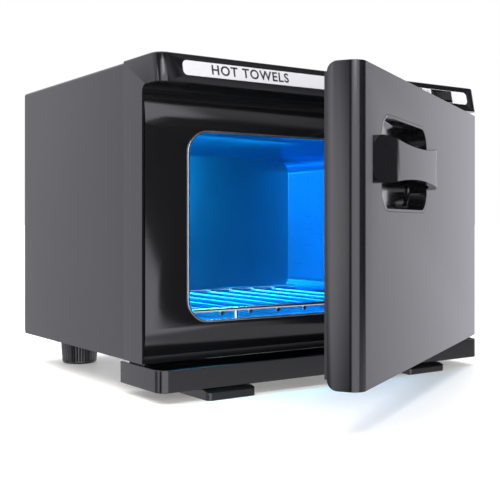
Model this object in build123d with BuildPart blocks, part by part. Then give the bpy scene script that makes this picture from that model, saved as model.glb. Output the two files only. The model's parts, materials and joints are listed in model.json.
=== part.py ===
"""Hot towel cabinet: a small heated and UV-lit box with a side-hung door, a drip tray and a wire rack.

Working frame: x runs across the cabinet from its middle plane towards the hinge side, y runs from
the front plane backwards, z runs up from the surface that the feet stand on. Lengths are millimetres.
The door stands ajar at rest. The last section turns the door to that angle and moves everything so
that the origin is at the bottom centre of the whole object's box.
"""
from build123d import *
import os
from math import atan2, cos, degrees, hypot, radians, sin, sqrt

os.makedirs("parts", exist_ok=True)

# ------------------------------------------------------------------ driving dimensions
cabinet_width = 300.0
cabinet_depth = 238.0          # front plane to the outside of the rear panel
frame_height = 205.0           # front moulding, underside to top
frame_depth = 51.0             # front plane to the seam with the sheet casing
frame_wall = 2.4
corner_radius = 7.5            # rounded upright corners of the fascia and the drip tray

fascia_height = 19.6
fascia_lean = 3.9              # how far the top of the fascia stands back from its lower edge
fascia_edge_radius = 1.2
cove_radius = 5.0              # hollow between the fascia's underside and the door seat

seat_depth = 24.6              # front plane to the flat face that the door shuts against
rim_depth = 24.2               # front plane to the thin rim round that face
rim_width = 1.3
recess_depth = 2.6             # groove between the rim and the pad
pad_side_gap = 1.4             # groove width at the sides
pad_end_gap = 3.2              # groove width at the top and bottom
pad_roll = 17.0                # height over which the pad's ends bend back
pad_drop = 1.9                 # how far they bend back

opening_width = 227.0
opening_height = 130.0
opening_radius = 15.0
opening_lift = 26.4            # front moulding's underside to the bottom of the opening
trim_wall = 1.5                # metal ring that lines the opening
trim_depth = 9.0
trim_proud = 0.7

tray_clearance = 7.0           # floor to the underside of the drip tray
tray_height = 14.8
tray_depth = 56.0
tray_wall = 2.0
tray_gap = 1.5                 # drip tray's rim to the front moulding
tray_rear_height = 11.0

door_side_gap = 0.3
door_top_gap = 2.8
door_bottom_gap = 1.5          # front moulding's underside to the door's lower edge
door_shell_depth = 20.2
door_wall = 2.2
door_nose_radius = 7.3         # rounded upright edges of the door's outer face
door_back_radius = 6.0         # rounded upper and lower back edges
door_ajar = 29.9               # opening angle at rest, degrees
panel_thickness = 1.4          # inner panel on the back of the door
panel_edge = 2.0
gasket_width = 6.0
gasket_margin = 5.0            # gasket's inner edge outside the opening
gasket_clearance = 0.4         # gasket to seat with the door shut

hinge_inset = 10.5             # hinge axis from the cabinet's side
hinge_setback = 13.0           # hinge axis behind the front plane
hinge_pin_radius = 3.0
hinge_running_clearance = 0.05
hinge_clear_hole = 0.4         # play round the pin where it passes the fascia
hinge_engagement = 10.0
hinge_knuckle_clearance = 0.5  # door's round end to the rim as it swings
bush_wall = 2.0
bracket_thickness = 1.2
upper_bracket_thickness = 2.0
bracket_width = 24.0
bracket_front = 7.0            # front plane to the brackets' front edge
bracket_length = 40.0
bracket_edge = 3.0             # cabinet's side to the brackets' side
washer_radius = 5.6
washer_thickness = 1.4

cup_width = 104.0              # recessed oval behind the grip
cup_height = 57.4
cup_corner_radius = 15.0
cup_depth = 14.8
cup_wall = 1.6
cup_draft = 8.0                # degrees
cup_floor_radius = 3.0
cup_clearance = 0.2
cup_from_free_edge = 86.7      # cup's centre from the door's free edge
cup_above_frame_bottom = 129.0
grip_length = 135.4
grip_flat_length = 95.0
grip_proud = 7.8
grip_thickness = 4.6
grip_end_height = 29.8
grip_end_bow = 3.0             # how far each end bulges outwards
grip_corner_radius = 9.0
grip_lift = 1.0                # grip's centre above the cup's
grip_waist_height = 19.5
grip_crown = 0.8               # bow of the grip's face

strip_length = 269.0
strip_height = 10.2
strip_shift = 2.8              # strip's centre from the middle plane
strip_radius = 3.4
strip_thickness = 1.0
strip_sink = 0.7               # depth of the pocket that it lies in
strip_lift = 0.4               # strip's centre above the fascia's middle

switch_pitch = 33.0            # heat switch to UV switch
heat_switch_x = 108.3
rocker_length = 20.0
rocker_height = 6.8
rocker_play = 0.5
rocker_draft = 0.6             # taper of the cap towards its face, each end
rocker_throw = 14.0            # degrees between the two positions
rocker_pivot_depth = 3.0       # behind the fascia's face
rocker_proud = 1.7
rocker_dish = 0.9              # hollow of its face
switch_wall = 0.9
switch_depth = 15.0
switch_cavity_depth = 8.5
switch_bezel = 0.3             # how far the switch frame stands out of the strip
blade_length = 5.0
blade_width = 3.0
blade_thickness = 0.8

shell_step = 0.6               # casing set in from the moulding
shell_thickness = 1.0
shell_bend_radius = 2.5
shell_flange = 12.0
pan_thickness = 1.0
pan_upstand = 8.0
rear_thickness = 1.0
rear_lip = 10.0

chamber_thickness = 1.0
chamber_rear_gap = 24.0        # chamber's back wall to the rear panel's outside
insulation_gap = 0.8

heater_margin = 14.0           # heater plate's edge from the chamber's side
heater_thickness = 2.0
heater_clamp_thickness = 1.0
floor_insulation_thickness = 6.0
angle_thickness = 1.5
support_foot = 14.0            # foot of the chamber's support angles
thermostat_radius = 8.0
thermostat_height = 9.5
thermostat_tab = 12.0          # half length of its fixing tab
fuse_radius = 2.2
fuse_length = 14.0

lamp_radius = 7.8
lamp_length = 135.0
lamp_wall_distance = 13.0      # tube's axis from the chamber's left wall
lamp_drop = 28.0               # tube's axis below the chamber's ceiling
lamp_rear_gap = 10.0           # tube's rear end from the chamber's back wall
lamp_pin_radius = 1.1
lamp_pin_length = 5.0
lamp_pin_pitch = 4.8
holder_depth = 8.0
holder_height = 19.0
reflector_thickness = 0.6
reflector_height = 30.0
guard_wire_radius = 1.0
guard_reach = 4.5              # guard wires outside the tube
hoop_half_turn = 92.0          # degrees that the guard's hoops reach either way

ballast_size = (70.0, 34.0, 12.0)
ballast_place = (58.0, 165.0)
terminal_size = (30.0, 16.0, 12.0)
terminal_place = (96.0, 212.0)
starter_radius = 8.0
starter_length = 30.0
starter_place = (-20.0, 214.0)

# smaller sizes of screws, bosses, vents and stops
driver_play = 0.6              # round a screw's head where a tool reaches it
head_height = 1.2              # of the door's screws
foot_bore = 4.0                # foot screws' heads below the pan
stile_half = 12.0              # hinge axis to the inside of the door's stile
boss_inset = 12.0              # bosses from the door's free edge
boss_from_end = 10.2           # bosses from the door's top and bottom
boss_from_stile = 8.0
boss_middle_shift = 20.0
bush_depth = hinge_engagement + 1.0
strike_gap = 0.4
core_gap = 1.0                 # insulation to the door's walls
grip_foot = 1.0                # grip's inner end outside the cup
grip_inner_slope = 4.0
vent_count = 12
vent_pitch = 9.0
vent_length = 16.0
vent_width = 3.0
vent_shift = -20.0
vent_low = 22.0                # lower row above the moulding's underside
vent_high = 26.0               # upper row below the casing's top
fuse_offset = 26.0             # thermostat to the fuse
fuse_lead = 6.0
fuse_lead_radius = 0.5
guard_end = 14.0               # lamp's end to the guard's hoop
guard_overhang = 4.0
guard_spread = 50.0            # degrees between the guard's wires
towel_margin = 4.8             # towel space to the chamber's walls
tray_margin = 6.5              # condensate space to the tray's sides
space_gap = 1.0

front_foot_width = 38.7
front_foot_left = 33.1         # cabinet's left side to the left front foot
front_foot_right = 45.8        # cabinet's right side to the right front foot
front_foot_reach = 5.6         # how far the pads stand out in front
front_foot_top = 6.5
front_foot_nose = 4.9          # pad height at its front edge
front_foot_radius = 3.4
front_foot_behind_tray = 2.0
front_foot_post = 22.0
rear_foot_inset = 35.4         # cabinet's side to the rear feet's axes
rear_foot_from_back = 35.0
rear_foot_top_radius = 15.9
rear_foot_base_radius = 14.2
rear_foot_edge = 1.5

gland_x = 112.0
gland_height = 40.0            # above the floor
gland_bore = 3.7
gland_thread_radius = 8.0
gland_flange_radius = 11.0
gland_flange = 3.0
gland_collar = 9.0
gland_collar_radius = 9.0
gland_inside = 9.0
nut_height = 4.0
nut_across = 22.0

rack_wire_radius = 1.5
rack_rail_radius = 1.7
rack_lift = 2.4                # clear height under the rack's wires
rack_weld = 0.8                # how far wires and rails melt together
rack_side_gap = 4.5
rack_front_setback = 3.2       # rim to the front rail's axis
rack_rear_gap = 14.0
rack_wire_pitch = 24.5
rack_leg_inset = 36.0

screw_head_radius = 3.3
screw_head_height = 1.8
screw_shank_radius = 1.5
sheet_screw_length = 6.0

magnet_size = (8.0, 5.0, 40.0)     # width, depth, height of the catch magnet
magnet_from_side = 12.0
strike_thickness = 0.8
strike_size = (12.0, 46.0)
guide_width = 3.0
guide_drop = 5.0
guide_clearance = 0.5
guide_length = 22.0

# ------------------------------------------------------------------ places worked out from them
half_width = cabinet_width / 2
tray_top = tray_clearance + tray_height
frame_bottom = tray_top + tray_gap
frame_top = frame_bottom + frame_height
fascia_bottom = frame_top - fascia_height
recess_floor = rim_depth + recess_depth
pad_bottom = frame_bottom + rim_width + pad_end_gap
pad_top = fascia_bottom - cove_radius - pad_end_gap
pad_half = half_width - rim_width - pad_side_gap

opening_bottom = frame_bottom + opening_lift
opening_mid = opening_bottom + opening_height / 2
opening_top = opening_bottom + opening_height
opening_half = opening_width / 2

door_bottom = frame_bottom + door_bottom_gap
door_top = fascia_bottom - door_top_gap
door_height = door_top - door_bottom
door_half = half_width - door_side_gap
door_depth = door_shell_depth + panel_thickness
hinge_x = half_width - hinge_inset
knuckle_radius = rim_depth - hinge_setback - hinge_knuckle_clearance

fascia_tilt = degrees(atan2(fascia_lean, fascia_height))
fascia_plane = Plane(
    origin=(0, fascia_lean / 2, (fascia_bottom + frame_top) / 2),
    x_dir=(1, 0, 0),
    z_dir=(0, -cos(radians(fascia_tilt)), sin(radians(fascia_tilt))),
)
uv_switch_x = heat_switch_x - switch_pitch
switch_places = [(heat_switch_x, strip_lift), (uv_switch_x, strip_lift)]
strip_face = strip_thickness - strip_sink
switch_outer_length = rocker_length + 2 * (rocker_play + switch_wall)
switch_outer_height = rocker_height + 2 * (rocker_play + switch_wall)

shell_half = half_width - shell_step
shell_top = frame_top - shell_step
shell_end = cabinet_depth - rear_thickness
pan_bottom = frame_bottom + shell_thickness
pan_top = pan_bottom + pan_thickness
chamber_front = rim_depth - trim_proud + trim_depth
chamber_back = cabinet_depth - chamber_rear_gap
chamber_floor_under = opening_bottom - chamber_thickness
heater_bottom = chamber_floor_under - heater_thickness
clamp_bottom = heater_bottom - heater_clamp_thickness
heater_half = opening_half - opening_radius - heater_margin

lamp_x = -opening_half + lamp_wall_distance
lamp_z = opening_top - lamp_drop
lamp_back = chamber_back - lamp_rear_gap
lamp_front = lamp_back - lamp_length
reflector_half = reflector_height / 2

front_foot_xs = [
    -half_width + front_foot_left + front_foot_width / 2,
    half_width - front_foot_right - front_foot_width / 2,
]
foot_post_front = tray_depth + front_foot_behind_tray
foot_post_mid = foot_post_front + front_foot_post / 2
rear_foot_places = [
    (side * (half_width - rear_foot_inset), cabinet_depth - rear_foot_from_back) for side in (-1, 1)
]
front_foot_places = [(x, foot_post_mid) for x in front_foot_xs]

cup_x = -door_half + cup_from_free_edge
cup_z = frame_bottom + cup_above_frame_bottom
panel_half_height = door_height / 2 - door_back_radius
bush_radius = hinge_pin_radius + hinge_running_clearance + bush_wall
panel_right = hinge_x + sqrt(knuckle_radius**2 - (door_depth - hinge_setback) ** 2) - panel_edge
if door_shell_depth < hinge_setback + bush_radius:      # a thin door's panel stops beside the bushes
    panel_right = hinge_x - bush_radius - panel_edge
door_mid = (door_bottom + door_top) / 2
stile_left = hinge_x - stile_half
boss_radius = 4.0
boss_xs = [-door_half + boss_inset, stile_left / 2 - boss_middle_shift, stile_left - boss_from_stile]
boss_zs = (door_bottom + boss_from_end, door_top - boss_from_end)
door_boss_places = [(x, z) for x in boss_xs for z in boss_zs]


def facing(y, x=0.0, z=0.0):
    """Upright plane across the cabinet at depth y, drawn on in x and z; its normal points forwards."""
    return Plane(origin=(x, y, z), x_dir=(1, 0, 0), z_dir=(0, -1, 0))


def level(z):
    """Level plane at height z, drawn on in x and y."""
    return Plane.XY.offset(z)


def across(x):
    """Upright plane along the cabinet at x, drawn on in y and z."""
    return Plane.YZ.offset(x)


def opening_outline(grow):
    """Rounded outline of the chamber's mouth, grown evenly by a distance."""
    RectangleRounded(opening_width + 2 * grow, opening_height + 2 * grow, opening_radius + grow)


# ------------------------------------------------------------------ front moulding
with BuildPart() as front_frame:
    with BuildSketch(across(-half_width)):
        Polygon(
            (0, fascia_bottom), (frame_depth, fascia_bottom),
            (frame_depth, frame_top), (fascia_lean, frame_top), align=None,
        )
    extrude(amount=cabinet_width)
    leaning_face = front_frame.faces().sort_by(Axis.Y)[0]
    fillet(leaning_face.edges().filter_by(Axis.X, reverse=True), corner_radius)
    top_edges = front_frame.faces().sort_by(Axis.Z)[-1].edges()
    fillet(top_edges.filter_by(lambda e: e.center().Y < frame_depth - 1), fascia_edge_radius)
    # block behind the door, with a cove up to the fascia's underside
    with BuildSketch(level(frame_bottom)):
        with Locations((0, (rim_depth + frame_depth) / 2)):
            Rectangle(cabinet_width, frame_depth - rim_depth)
    extrude(amount=fascia_bottom - frame_bottom)
    fillet(front_frame.edges().sort_by_distance((0, rim_depth, fascia_bottom))[0], cove_radius)
    # groove inside the thin rim
    with BuildSketch(facing(rim_depth)):
        groove_bottom = frame_bottom + rim_width
        groove_top = fascia_bottom - cove_radius
        with Locations((0, (groove_bottom + groove_top) / 2)):
            Rectangle(cabinet_width - 2 * rim_width, groove_top - groove_bottom)
    extrude(amount=-recess_depth, mode=Mode.SUBTRACT)
    # pad that the door shuts against, its upper and lower ends rolled back
    with BuildSketch(across(-pad_half)):
        with BuildLine():
            roll_top = (seat_depth, pad_top - pad_roll)
            roll_bottom = (seat_depth, pad_bottom + pad_roll)
            end_top = (seat_depth + pad_drop, pad_top)
            end_bottom = (seat_depth + pad_drop, pad_bottom)
            Line(roll_bottom, roll_top)
            TangentArc(roll_top, end_top, tangent=(0, 1))
            Polyline(end_top, (recess_floor, pad_top), (recess_floor, pad_bottom), end_bottom)
            TangentArc(roll_bottom, end_bottom, tangent=(0, -1))
        make_face()
    extrude(amount=2 * pad_half)
    # mouth of the chamber, with room for its metal ring
    with BuildSketch(facing(0)):
        with Locations((0, opening_mid)):
            opening_outline(trim_wall)
    extrude(amount=-frame_depth, mode=Mode.SUBTRACT)
    # hollow back of the lower frame, leaving a collar round the mouth
    with BuildSketch(facing(frame_depth)):
        hollow_bottom = frame_bottom + frame_wall
        hollow_top = fascia_bottom - frame_wall
        with Locations((0, (hollow_bottom + hollow_top) / 2)):
            Rectangle(cabinet_width - 2 * frame_wall, hollow_top - hollow_bottom)
        with Locations((0, opening_mid)):
            RectangleRounded(
                opening_width + 2 * (trim_wall + frame_wall),
                opening_height + 2 * (trim_wall + frame_wall),
                opening_radius + trim_wall + frame_wall, mode=Mode.SUBTRACT,
            )
    extrude(amount=frame_depth - recess_floor - frame_wall, mode=Mode.SUBTRACT)
    # hollow fascia, open at the back for the switches and wiring
    with BuildSketch(facing(frame_depth)):
        with Locations((0, (fascia_bottom + frame_top) / 2)):
            Rectangle(cabinet_width - 2 * frame_wall, fascia_height - 2 * frame_wall)
    extrude(amount=frame_depth - fascia_lean - frame_wall, mode=Mode.SUBTRACT)
    # pocket for the label strip and windows for the two switches
    with BuildSketch(fascia_plane):
        with Locations((strip_shift, strip_lift)):
            RectangleRounded(strip_length, strip_height, strip_radius)
    extrude(amount=-strip_sink, mode=Mode.SUBTRACT)
    with BuildSketch(fascia_plane):
        with Locations(*switch_places):
            Rectangle(switch_outer_length, switch_outer_height)
    extrude(amount=-switch_depth, mode=Mode.SUBTRACT)
    # way through for the upper hinge pin, and bracket screw holes
    with BuildSketch(level(fascia_bottom)):
        with Locations((hinge_x, hinge_setback)):
            Circle(hinge_pin_radius + hinge_clear_hole)
    extrude(amount=frame_wall, mode=Mode.SUBTRACT)
    bracket_screw_places = [(hinge_x - 8.0, bracket_front + 28.0), (hinge_x + 3.0, bracket_front + 35.0)]
    with BuildSketch(level(frame_bottom)):
        with Locations(*bracket_screw_places):
            Circle(screw_shank_radius)
    extrude(amount=frame_wall, mode=Mode.SUBTRACT)
    upper_screw_places = [(hinge_x - 10.0, bracket_front + 22.0), (hinge_x - 4.0, bracket_front + 34.0)]
    with BuildSketch(level(fascia_bottom)):
        with Locations(*upper_screw_places):
            Circle(screw_shank_radius)
    extrude(amount=frame_wall, mode=Mode.SUBTRACT)
front_frame.part.label = "front_frame"

with BuildPart() as fascia_strip:
    with BuildSketch(fascia_plane.offset(-strip_sink)):
        with Locations((strip_shift, strip_lift)):
            RectangleRounded(strip_length, strip_height, strip_radius)
        with Locations(*switch_places):
            Rectangle(switch_outer_length, switch_outer_height, mode=Mode.SUBTRACT)
    extrude(amount=strip_thickness)
fascia_strip.part.label = "fascia_strip"

with BuildPart() as opening_trim:
    with BuildSketch(facing(rim_depth - trim_proud)):
        with Locations((0, opening_mid)):
            opening_outline(trim_wall)
            RectangleRounded(opening_width, opening_height, opening_radius, mode=Mode.SUBTRACT)
    extrude(amount=-trim_depth)
opening_trim.part.label = "opening_trim"


# ------------------------------------------------------------------ switches in the fascia
def switch_body(place):
    """Switch housing behind the fascia: an open-fronted box with three blade terminals."""
    with BuildPart() as housing:
        with BuildSketch(fascia_plane.offset(strip_face + switch_bezel)):
            with Locations(place):
                Rectangle(switch_outer_length, switch_outer_height)
        extrude(amount=-(switch_depth + strip_face + switch_bezel))
        with BuildSketch(fascia_plane.offset(strip_face + switch_bezel)):
            with Locations(place):
                Rectangle(rocker_length + 2 * rocker_play, rocker_height + 2 * rocker_play)
        extrude(amount=-(switch_cavity_depth + strip_face + switch_bezel), mode=Mode.SUBTRACT)
        with BuildSketch(fascia_plane.offset(-switch_depth)):
            with Locations(place):
                with GridLocations(rocker_length / 3, 0, 3, 1):
                    Rectangle(blade_thickness, blade_width)
        extrude(amount=-blade_length)
    return housing


def rocker(place):
    """Rocker cap with a dished face, and the axis that it tips about."""
    x, rise = place
    pivot = fascia_plane.from_local_coords((x, rise, -rocker_pivot_depth))
    side_plane = Plane(origin=pivot, x_dir=(1, 0, 0), z_dir=fascia_plane.y_dir)
    half = rocker_length / 2
    face = rocker_pivot_depth + rocker_proud
    with BuildPart() as cap:
        with BuildSketch(side_plane.offset(-rocker_height / 2)):
            with BuildLine():
                foot = rocker_pivot_depth / 2
                face_end = half - rocker_draft
                Line((-half, 0), (-face_end, -face))
                ThreePointArc((-face_end, -face), (0, rocker_dish - face), (face_end, -face))
                Polyline(
                    (face_end, -face), (half, 0), (half / 2, foot), (-half / 2, foot), (-half, 0)
                )
            make_face()
        extrude(amount=rocker_height)
    cap_axis = Axis(pivot, fascia_plane.y_dir)
    return cap, cap_axis


heat_switch = switch_body(switch_places[0])
heat_switch.part.label = "heat_switch"
uv_switch = switch_body(switch_places[1])
uv_switch.part.label = "uv_switch"
heat_rocker, heat_axis = rocker(switch_places[0])
heat_rocker.part.label = "heat_rocker"
uv_rocker, uv_axis = rocker(switch_places[1])
uv_rocker.part.label = "uv_rocker"

# ------------------------------------------------------------------ sheet casing
rear_screw_places = [
    (side * (shell_half - rear_lip / 2 - shell_thickness), z)
    for side in (-1, 1)
    for z in (frame_bottom + 30.0, (frame_bottom + shell_top) / 2, shell_top - 20.0)
]
flange_screw_places = [
    (side * (shell_half - shell_flange / 2), y)
    for side in (-1, 1)
    for y in (frame_depth + 30.0, shell_end - 60.0)
]

with BuildPart() as outer_shell:
    # top and two sides, bent from one sheet
    with BuildSketch(facing(frame_depth)):
        with BuildLine():
            Polyline(
                (-shell_half, frame_bottom), (-shell_half, shell_top),
                (shell_half, shell_top), (shell_half, frame_bottom), close=True,
            )
        make_face()
        fillet(vertices().group_by(Axis.Y)[-1], shell_bend_radius)
        with BuildLine():
            inner_half = shell_half - shell_thickness
            Polyline(
                (-inner_half, frame_bottom), (-inner_half, shell_top - shell_thickness),
                (inner_half, shell_top - shell_thickness), (inner_half, frame_bottom), close=True,
            )
        make_face(mode=Mode.SUBTRACT)
    extrude(amount=-(shell_end - frame_depth))
    # bottom edges turned in under the base pan
    with BuildSketch(level(frame_bottom)):
        for side in (-1, 1):
            with Locations((side * (shell_half - shell_flange / 2), (frame_depth + shell_end) / 2)):
                Rectangle(shell_flange, shell_end - frame_depth)
    extrude(amount=shell_thickness)
    # rear edges turned in behind the rear panel
    with BuildSketch(facing(shell_end)):
        with Locations((0, (pan_top + shell_top) / 2)):
            Rectangle(2 * shell_half - 2 * shell_thickness, shell_top - pan_top)
        with Locations((0, (pan_top + shell_top) / 2 - rear_lip / 2 - shell_thickness / 2)):
            Rectangle(
                2 * (shell_half - shell_thickness - rear_lip),
                shell_top - pan_top - rear_lip + shell_thickness, mode=Mode.SUBTRACT,
            )
        with Locations((0, shell_top)):
            Rectangle(2 * shell_half, 2 * shell_thickness, mode=Mode.SUBTRACT)
    extrude(amount=shell_thickness)
    with BuildSketch(facing(shell_end)):
        with Locations(*rear_screw_places):
            Circle(screw_shank_radius)
    extrude(amount=shell_thickness, mode=Mode.SUBTRACT)
    with BuildSketch(level(frame_bottom)):
        with Locations(*flange_screw_places):
            Circle(screw_shank_radius)
    extrude(amount=shell_thickness, mode=Mode.SUBTRACT)
outer_shell.part.label = "outer_shell"

with BuildPart() as base_pan:
    pan_half = shell_half - shell_thickness
    pan_length = shell_end - shell_thickness - frame_depth
    pan_mid = frame_depth + pan_length / 2
    with BuildSketch(level(pan_bottom)):
        with Locations((0, pan_mid)):
            Rectangle(2 * pan_half, pan_length)
    extrude(amount=pan_thickness)
    with BuildSketch(level(pan_bottom)):
        for side in (-1, 1):
            with Locations((side * (pan_half - pan_thickness / 2), pan_mid)):
                Rectangle(pan_thickness, pan_length)
    extrude(amount=pan_upstand)
    with BuildSketch(level(pan_bottom)):
        with Locations(*rear_foot_places, *front_foot_places, *flange_screw_places):
            Circle(screw_shank_radius)
    extrude(amount=pan_thickness, mode=Mode.SUBTRACT)
base_pan.part.label = "base_pan"

with BuildPart() as rear_panel:
    with BuildSketch(facing(cabinet_depth)):
        with Locations((0, (frame_bottom + shell_top) / 2)):
            RectangleRounded(2 * shell_half, shell_top - frame_bottom, shell_bend_radius)
        with Locations((gland_x, gland_height)):
            Circle(gland_thread_radius, mode=Mode.SUBTRACT)
        with Locations(*rear_screw_places):
            Circle(screw_shank_radius, mode=Mode.SUBTRACT)
        # ventilation slots above and below
        for vent_z in (frame_bottom + vent_low, shell_top - vent_high):
            with Locations((vent_shift, vent_z)):
                with GridLocations(vent_pitch, 0, vent_count, 1):
                    SlotOverall(vent_length, vent_width, rotation=90, mode=Mode.SUBTRACT)
    extrude(amount=rear_thickness)
rear_panel.part.label = "rear_panel"

with BuildPart() as cord_gland:
    with BuildSketch(facing(cabinet_depth)):
        with Locations((gland_x, gland_height)):
            Circle(gland_flange_radius)
    extrude(amount=-gland_flange)
    with BuildSketch(facing(cabinet_depth + gland_flange)):
        with Locations((gland_x, gland_height)):
            Circle(gland_collar_radius)
    extrude(amount=-gland_collar)
    fillet(cord_gland.edges().sort_by(Axis.Y)[-1], 1.5)
    with BuildSketch(facing(cabinet_depth)):
        with Locations((gland_x, gland_height)):
            Circle(gland_thread_radius)
    extrude(amount=rear_thickness + gland_inside)
    with BuildSketch(facing(cabinet_depth + gland_flange + gland_collar)):
        with Locations((gland_x, gland_height)):
            Circle(gland_bore)
    gland_span = gland_flange + gland_collar + rear_thickness + gland_inside
    extrude(amount=gland_span, mode=Mode.SUBTRACT)
cord_gland.part.label = "cord_gland"

with BuildPart() as gland_nut:
    with BuildSketch(facing(cabinet_depth - rear_thickness)):
        with Locations((gland_x, gland_height)):
            RegularPolygon(nut_across / 2, 6, major_radius=False)
            Circle(gland_thread_radius, mode=Mode.SUBTRACT)
    extrude(amount=nut_height)
gland_nut.part.label = "gland_nut"

# ------------------------------------------------------------------ heated chamber
with BuildPart() as inner_chamber:
    with BuildSketch(facing(chamber_front)):
        with Locations((0, opening_mid)):
            opening_outline(chamber_thickness)
    extrude(amount=-(chamber_back - chamber_front))
    with BuildSketch(facing(chamber_front)):
        with Locations((0, opening_mid)):
            opening_outline(0)
    extrude(amount=-(chamber_back - chamber_thickness - chamber_front), mode=Mode.SUBTRACT)
inner_chamber.part.label = "inner_chamber"

insulation_front = frame_depth + insulation_gap
insulation_back = chamber_back
side_inner = opening_half + chamber_thickness + insulation_gap
side_outer = shell_half - shell_thickness - insulation_gap
ceiling = opening_top + chamber_thickness + insulation_gap


def insulation_slab(x_range, y_range, z_range):
    """Plain slab of insulation board between the given limits."""
    (x0, x1), (y0, y1), (z0, z1) = x_range, y_range, z_range
    with BuildPart() as slab:
        with BuildSketch(level(z0)):
            with Locations(((x0 + x1) / 2, (y0 + y1) / 2)):
                Rectangle(x1 - x0, y1 - y0)
        extrude(amount=z1 - z0)
    return slab


insulation_rows = (insulation_front, insulation_back)
insulation_top = insulation_slab(
    (-side_outer, side_outer), insulation_rows, (ceiling, ceiling + 22.0)
)
insulation_top.part.label = "insulation_top"
insulation_left = insulation_slab(
    (-side_outer, -side_inner), insulation_rows, (opening_bottom, ceiling - insulation_gap)
)
insulation_left.part.label = "insulation_left"
insulation_right = insulation_slab(
    (side_inner, side_outer), insulation_rows, (opening_bottom, ceiling - insulation_gap)
)
insulation_right.part.label = "insulation_right"
insulation_rear = insulation_slab(
    (-side_outer, side_outer), (chamber_back + insulation_gap, chamber_back + 14.0),
    (opening_bottom + 6.0, ceiling + 22.0),
)
insulation_rear.part.label = "insulation_rear"

# ------------------------------------------------------------------ heater under the chamber
heater_front = frame_depth + 8.0
heater_back = chamber_back - 16.0
heater_mid = (heater_front + heater_back) / 2
heater_length = heater_back - heater_front
thermostat_y = heater_mid + 20.0

with BuildPart() as heater_plate:
    with BuildSketch(level(heater_bottom)):
        with Locations((0, heater_mid)):
            RectangleRounded(2 * heater_half, heater_length, 4.0)
    extrude(amount=heater_thickness)
heater_plate.part.label = "heater_plate"

with BuildPart() as heater_clamp:
    with BuildSketch(level(clamp_bottom)):
        with Locations((0, heater_mid)):
            Rectangle(2 * heater_half + 12.0, heater_length + 8.0)
    extrude(amount=heater_clamp_thickness)
    with BuildSketch(level(clamp_bottom)):
        with Locations((0, heater_mid)):
            Rectangle(2 * heater_half - 30.0, heater_length - 40.0)
            Rectangle(24.0, heater_length, mode=Mode.SUBTRACT)
    extrude(amount=heater_clamp_thickness, mode=Mode.SUBTRACT)
heater_clamp.part.label = "heater_clamp"

with BuildPart() as thermostat:
    with BuildSketch(level(clamp_bottom)):
        with Locations((0, thermostat_y)):
            Circle(thermostat_radius)
    extrude(amount=-thermostat_height)
    with BuildSketch(level(clamp_bottom)):
        with Locations((0, thermostat_y)):
            SlotOverall(2 * thermostat_tab, 8.0)
    extrude(amount=-0.8)
    with BuildSketch(level(clamp_bottom - thermostat_height)):
        with Locations((0, thermostat_y)):
            with GridLocations(0, 8.0, 1, 2):
                Rectangle(5.0, 0.8)
    extrude(amount=-4.0)
thermostat.part.label = "thermostat"

with BuildPart() as thermal_fuse:
    with BuildSketch(across(-fuse_length / 2)):
        with Locations((thermostat_y - fuse_offset, clamp_bottom - fuse_radius)):
            Circle(fuse_radius)
    extrude(amount=fuse_length)
    with BuildSketch(across(-fuse_length / 2 - fuse_lead)):
        with Locations((thermostat_y - fuse_offset, clamp_bottom - fuse_radius)):
            Circle(fuse_lead_radius)
    extrude(amount=fuse_length + 2 * fuse_lead)
thermal_fuse.part.label = "thermal_fuse"

with BuildPart() as insulation_floor:
    with BuildSketch(level(clamp_bottom - floor_insulation_thickness)):
        with Locations((0, heater_mid)):
            Rectangle(2 * heater_half, heater_length)
        with Locations((0, thermostat_y)):
            Rectangle(2 * thermostat_tab + 2.0, 2 * thermostat_radius + 4.0, mode=Mode.SUBTRACT)
        with Locations((0, thermostat_y - fuse_offset)):
            Rectangle(fuse_length + 16.0, 8.0, mode=Mode.SUBTRACT)
    extrude(amount=floor_insulation_thickness)
insulation_floor.part.label = "insulation_floor"

support_outer = opening_half - opening_radius + support_foot - 2.0
with BuildPart() as chamber_supports:
    # two Z-shaped angles from the base pan to the chamber's floor
    foot_mid = support_outer - support_foot / 2
    web_mid = support_outer - support_foot + angle_thickness / 2
    for side in (-1, 1):
        with BuildSketch(facing(frame_depth + 12.0)):
            with Locations((side * foot_mid, pan_top + angle_thickness / 2)):
                Rectangle(support_foot, angle_thickness)
            with Locations((side * web_mid, (pan_top + chamber_floor_under) / 2)):
                Rectangle(angle_thickness, chamber_floor_under - pan_top)
        extrude(amount=-(chamber_back - frame_depth - 30.0))
chamber_supports.part.label = "chamber_supports"

# ------------------------------------------------------------------ UV lamp in the chamber
with BuildPart() as uv_tube:
    with BuildSketch(facing(lamp_front)):
        with Locations((lamp_x, lamp_z)):
            Circle(lamp_radius)
    extrude(amount=-lamp_length)
    end_rims = uv_tube.edges().filter_by(GeomType.CIRCLE)
    fillet(end_rims, 0.8)
    for pin_y, reach in ((lamp_front, lamp_pin_length), (lamp_back, -lamp_pin_length)):
        with BuildSketch(facing(pin_y)):
            with Locations((lamp_x, lamp_z)):
                with GridLocations(0, lamp_pin_pitch, 1, 2):
                    Circle(lamp_pin_radius)
        extrude(amount=reach)
uv_tube.part.label = "uv_tube"


def lampholder(face_y, outward):
    """Lampholder on the chamber's left wall; the tube's pins enter the face at face_y."""
    with BuildPart() as holder:
        reach = lamp_wall_distance + lamp_radius
        with BuildSketch(facing(face_y)):
            with Locations((-opening_half + reach / 2, lamp_z)):
                RectangleRounded(reach, holder_height, 2.5)
        extrude(amount=-outward * holder_depth)
        with BuildSketch(facing(face_y)):
            with Locations((lamp_x, lamp_z)):
                with GridLocations(0, lamp_pin_pitch, 1, 2):
                    Circle(lamp_pin_radius)
        extrude(amount=-outward * lamp_pin_length, mode=Mode.SUBTRACT)
    return holder


lampholder_front = lampholder(lamp_front, -1)
lampholder_front.part.label = "lampholder_front"
lampholder_rear = lampholder(lamp_back, 1)
lampholder_rear.part.label = "lampholder_rear"

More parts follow.
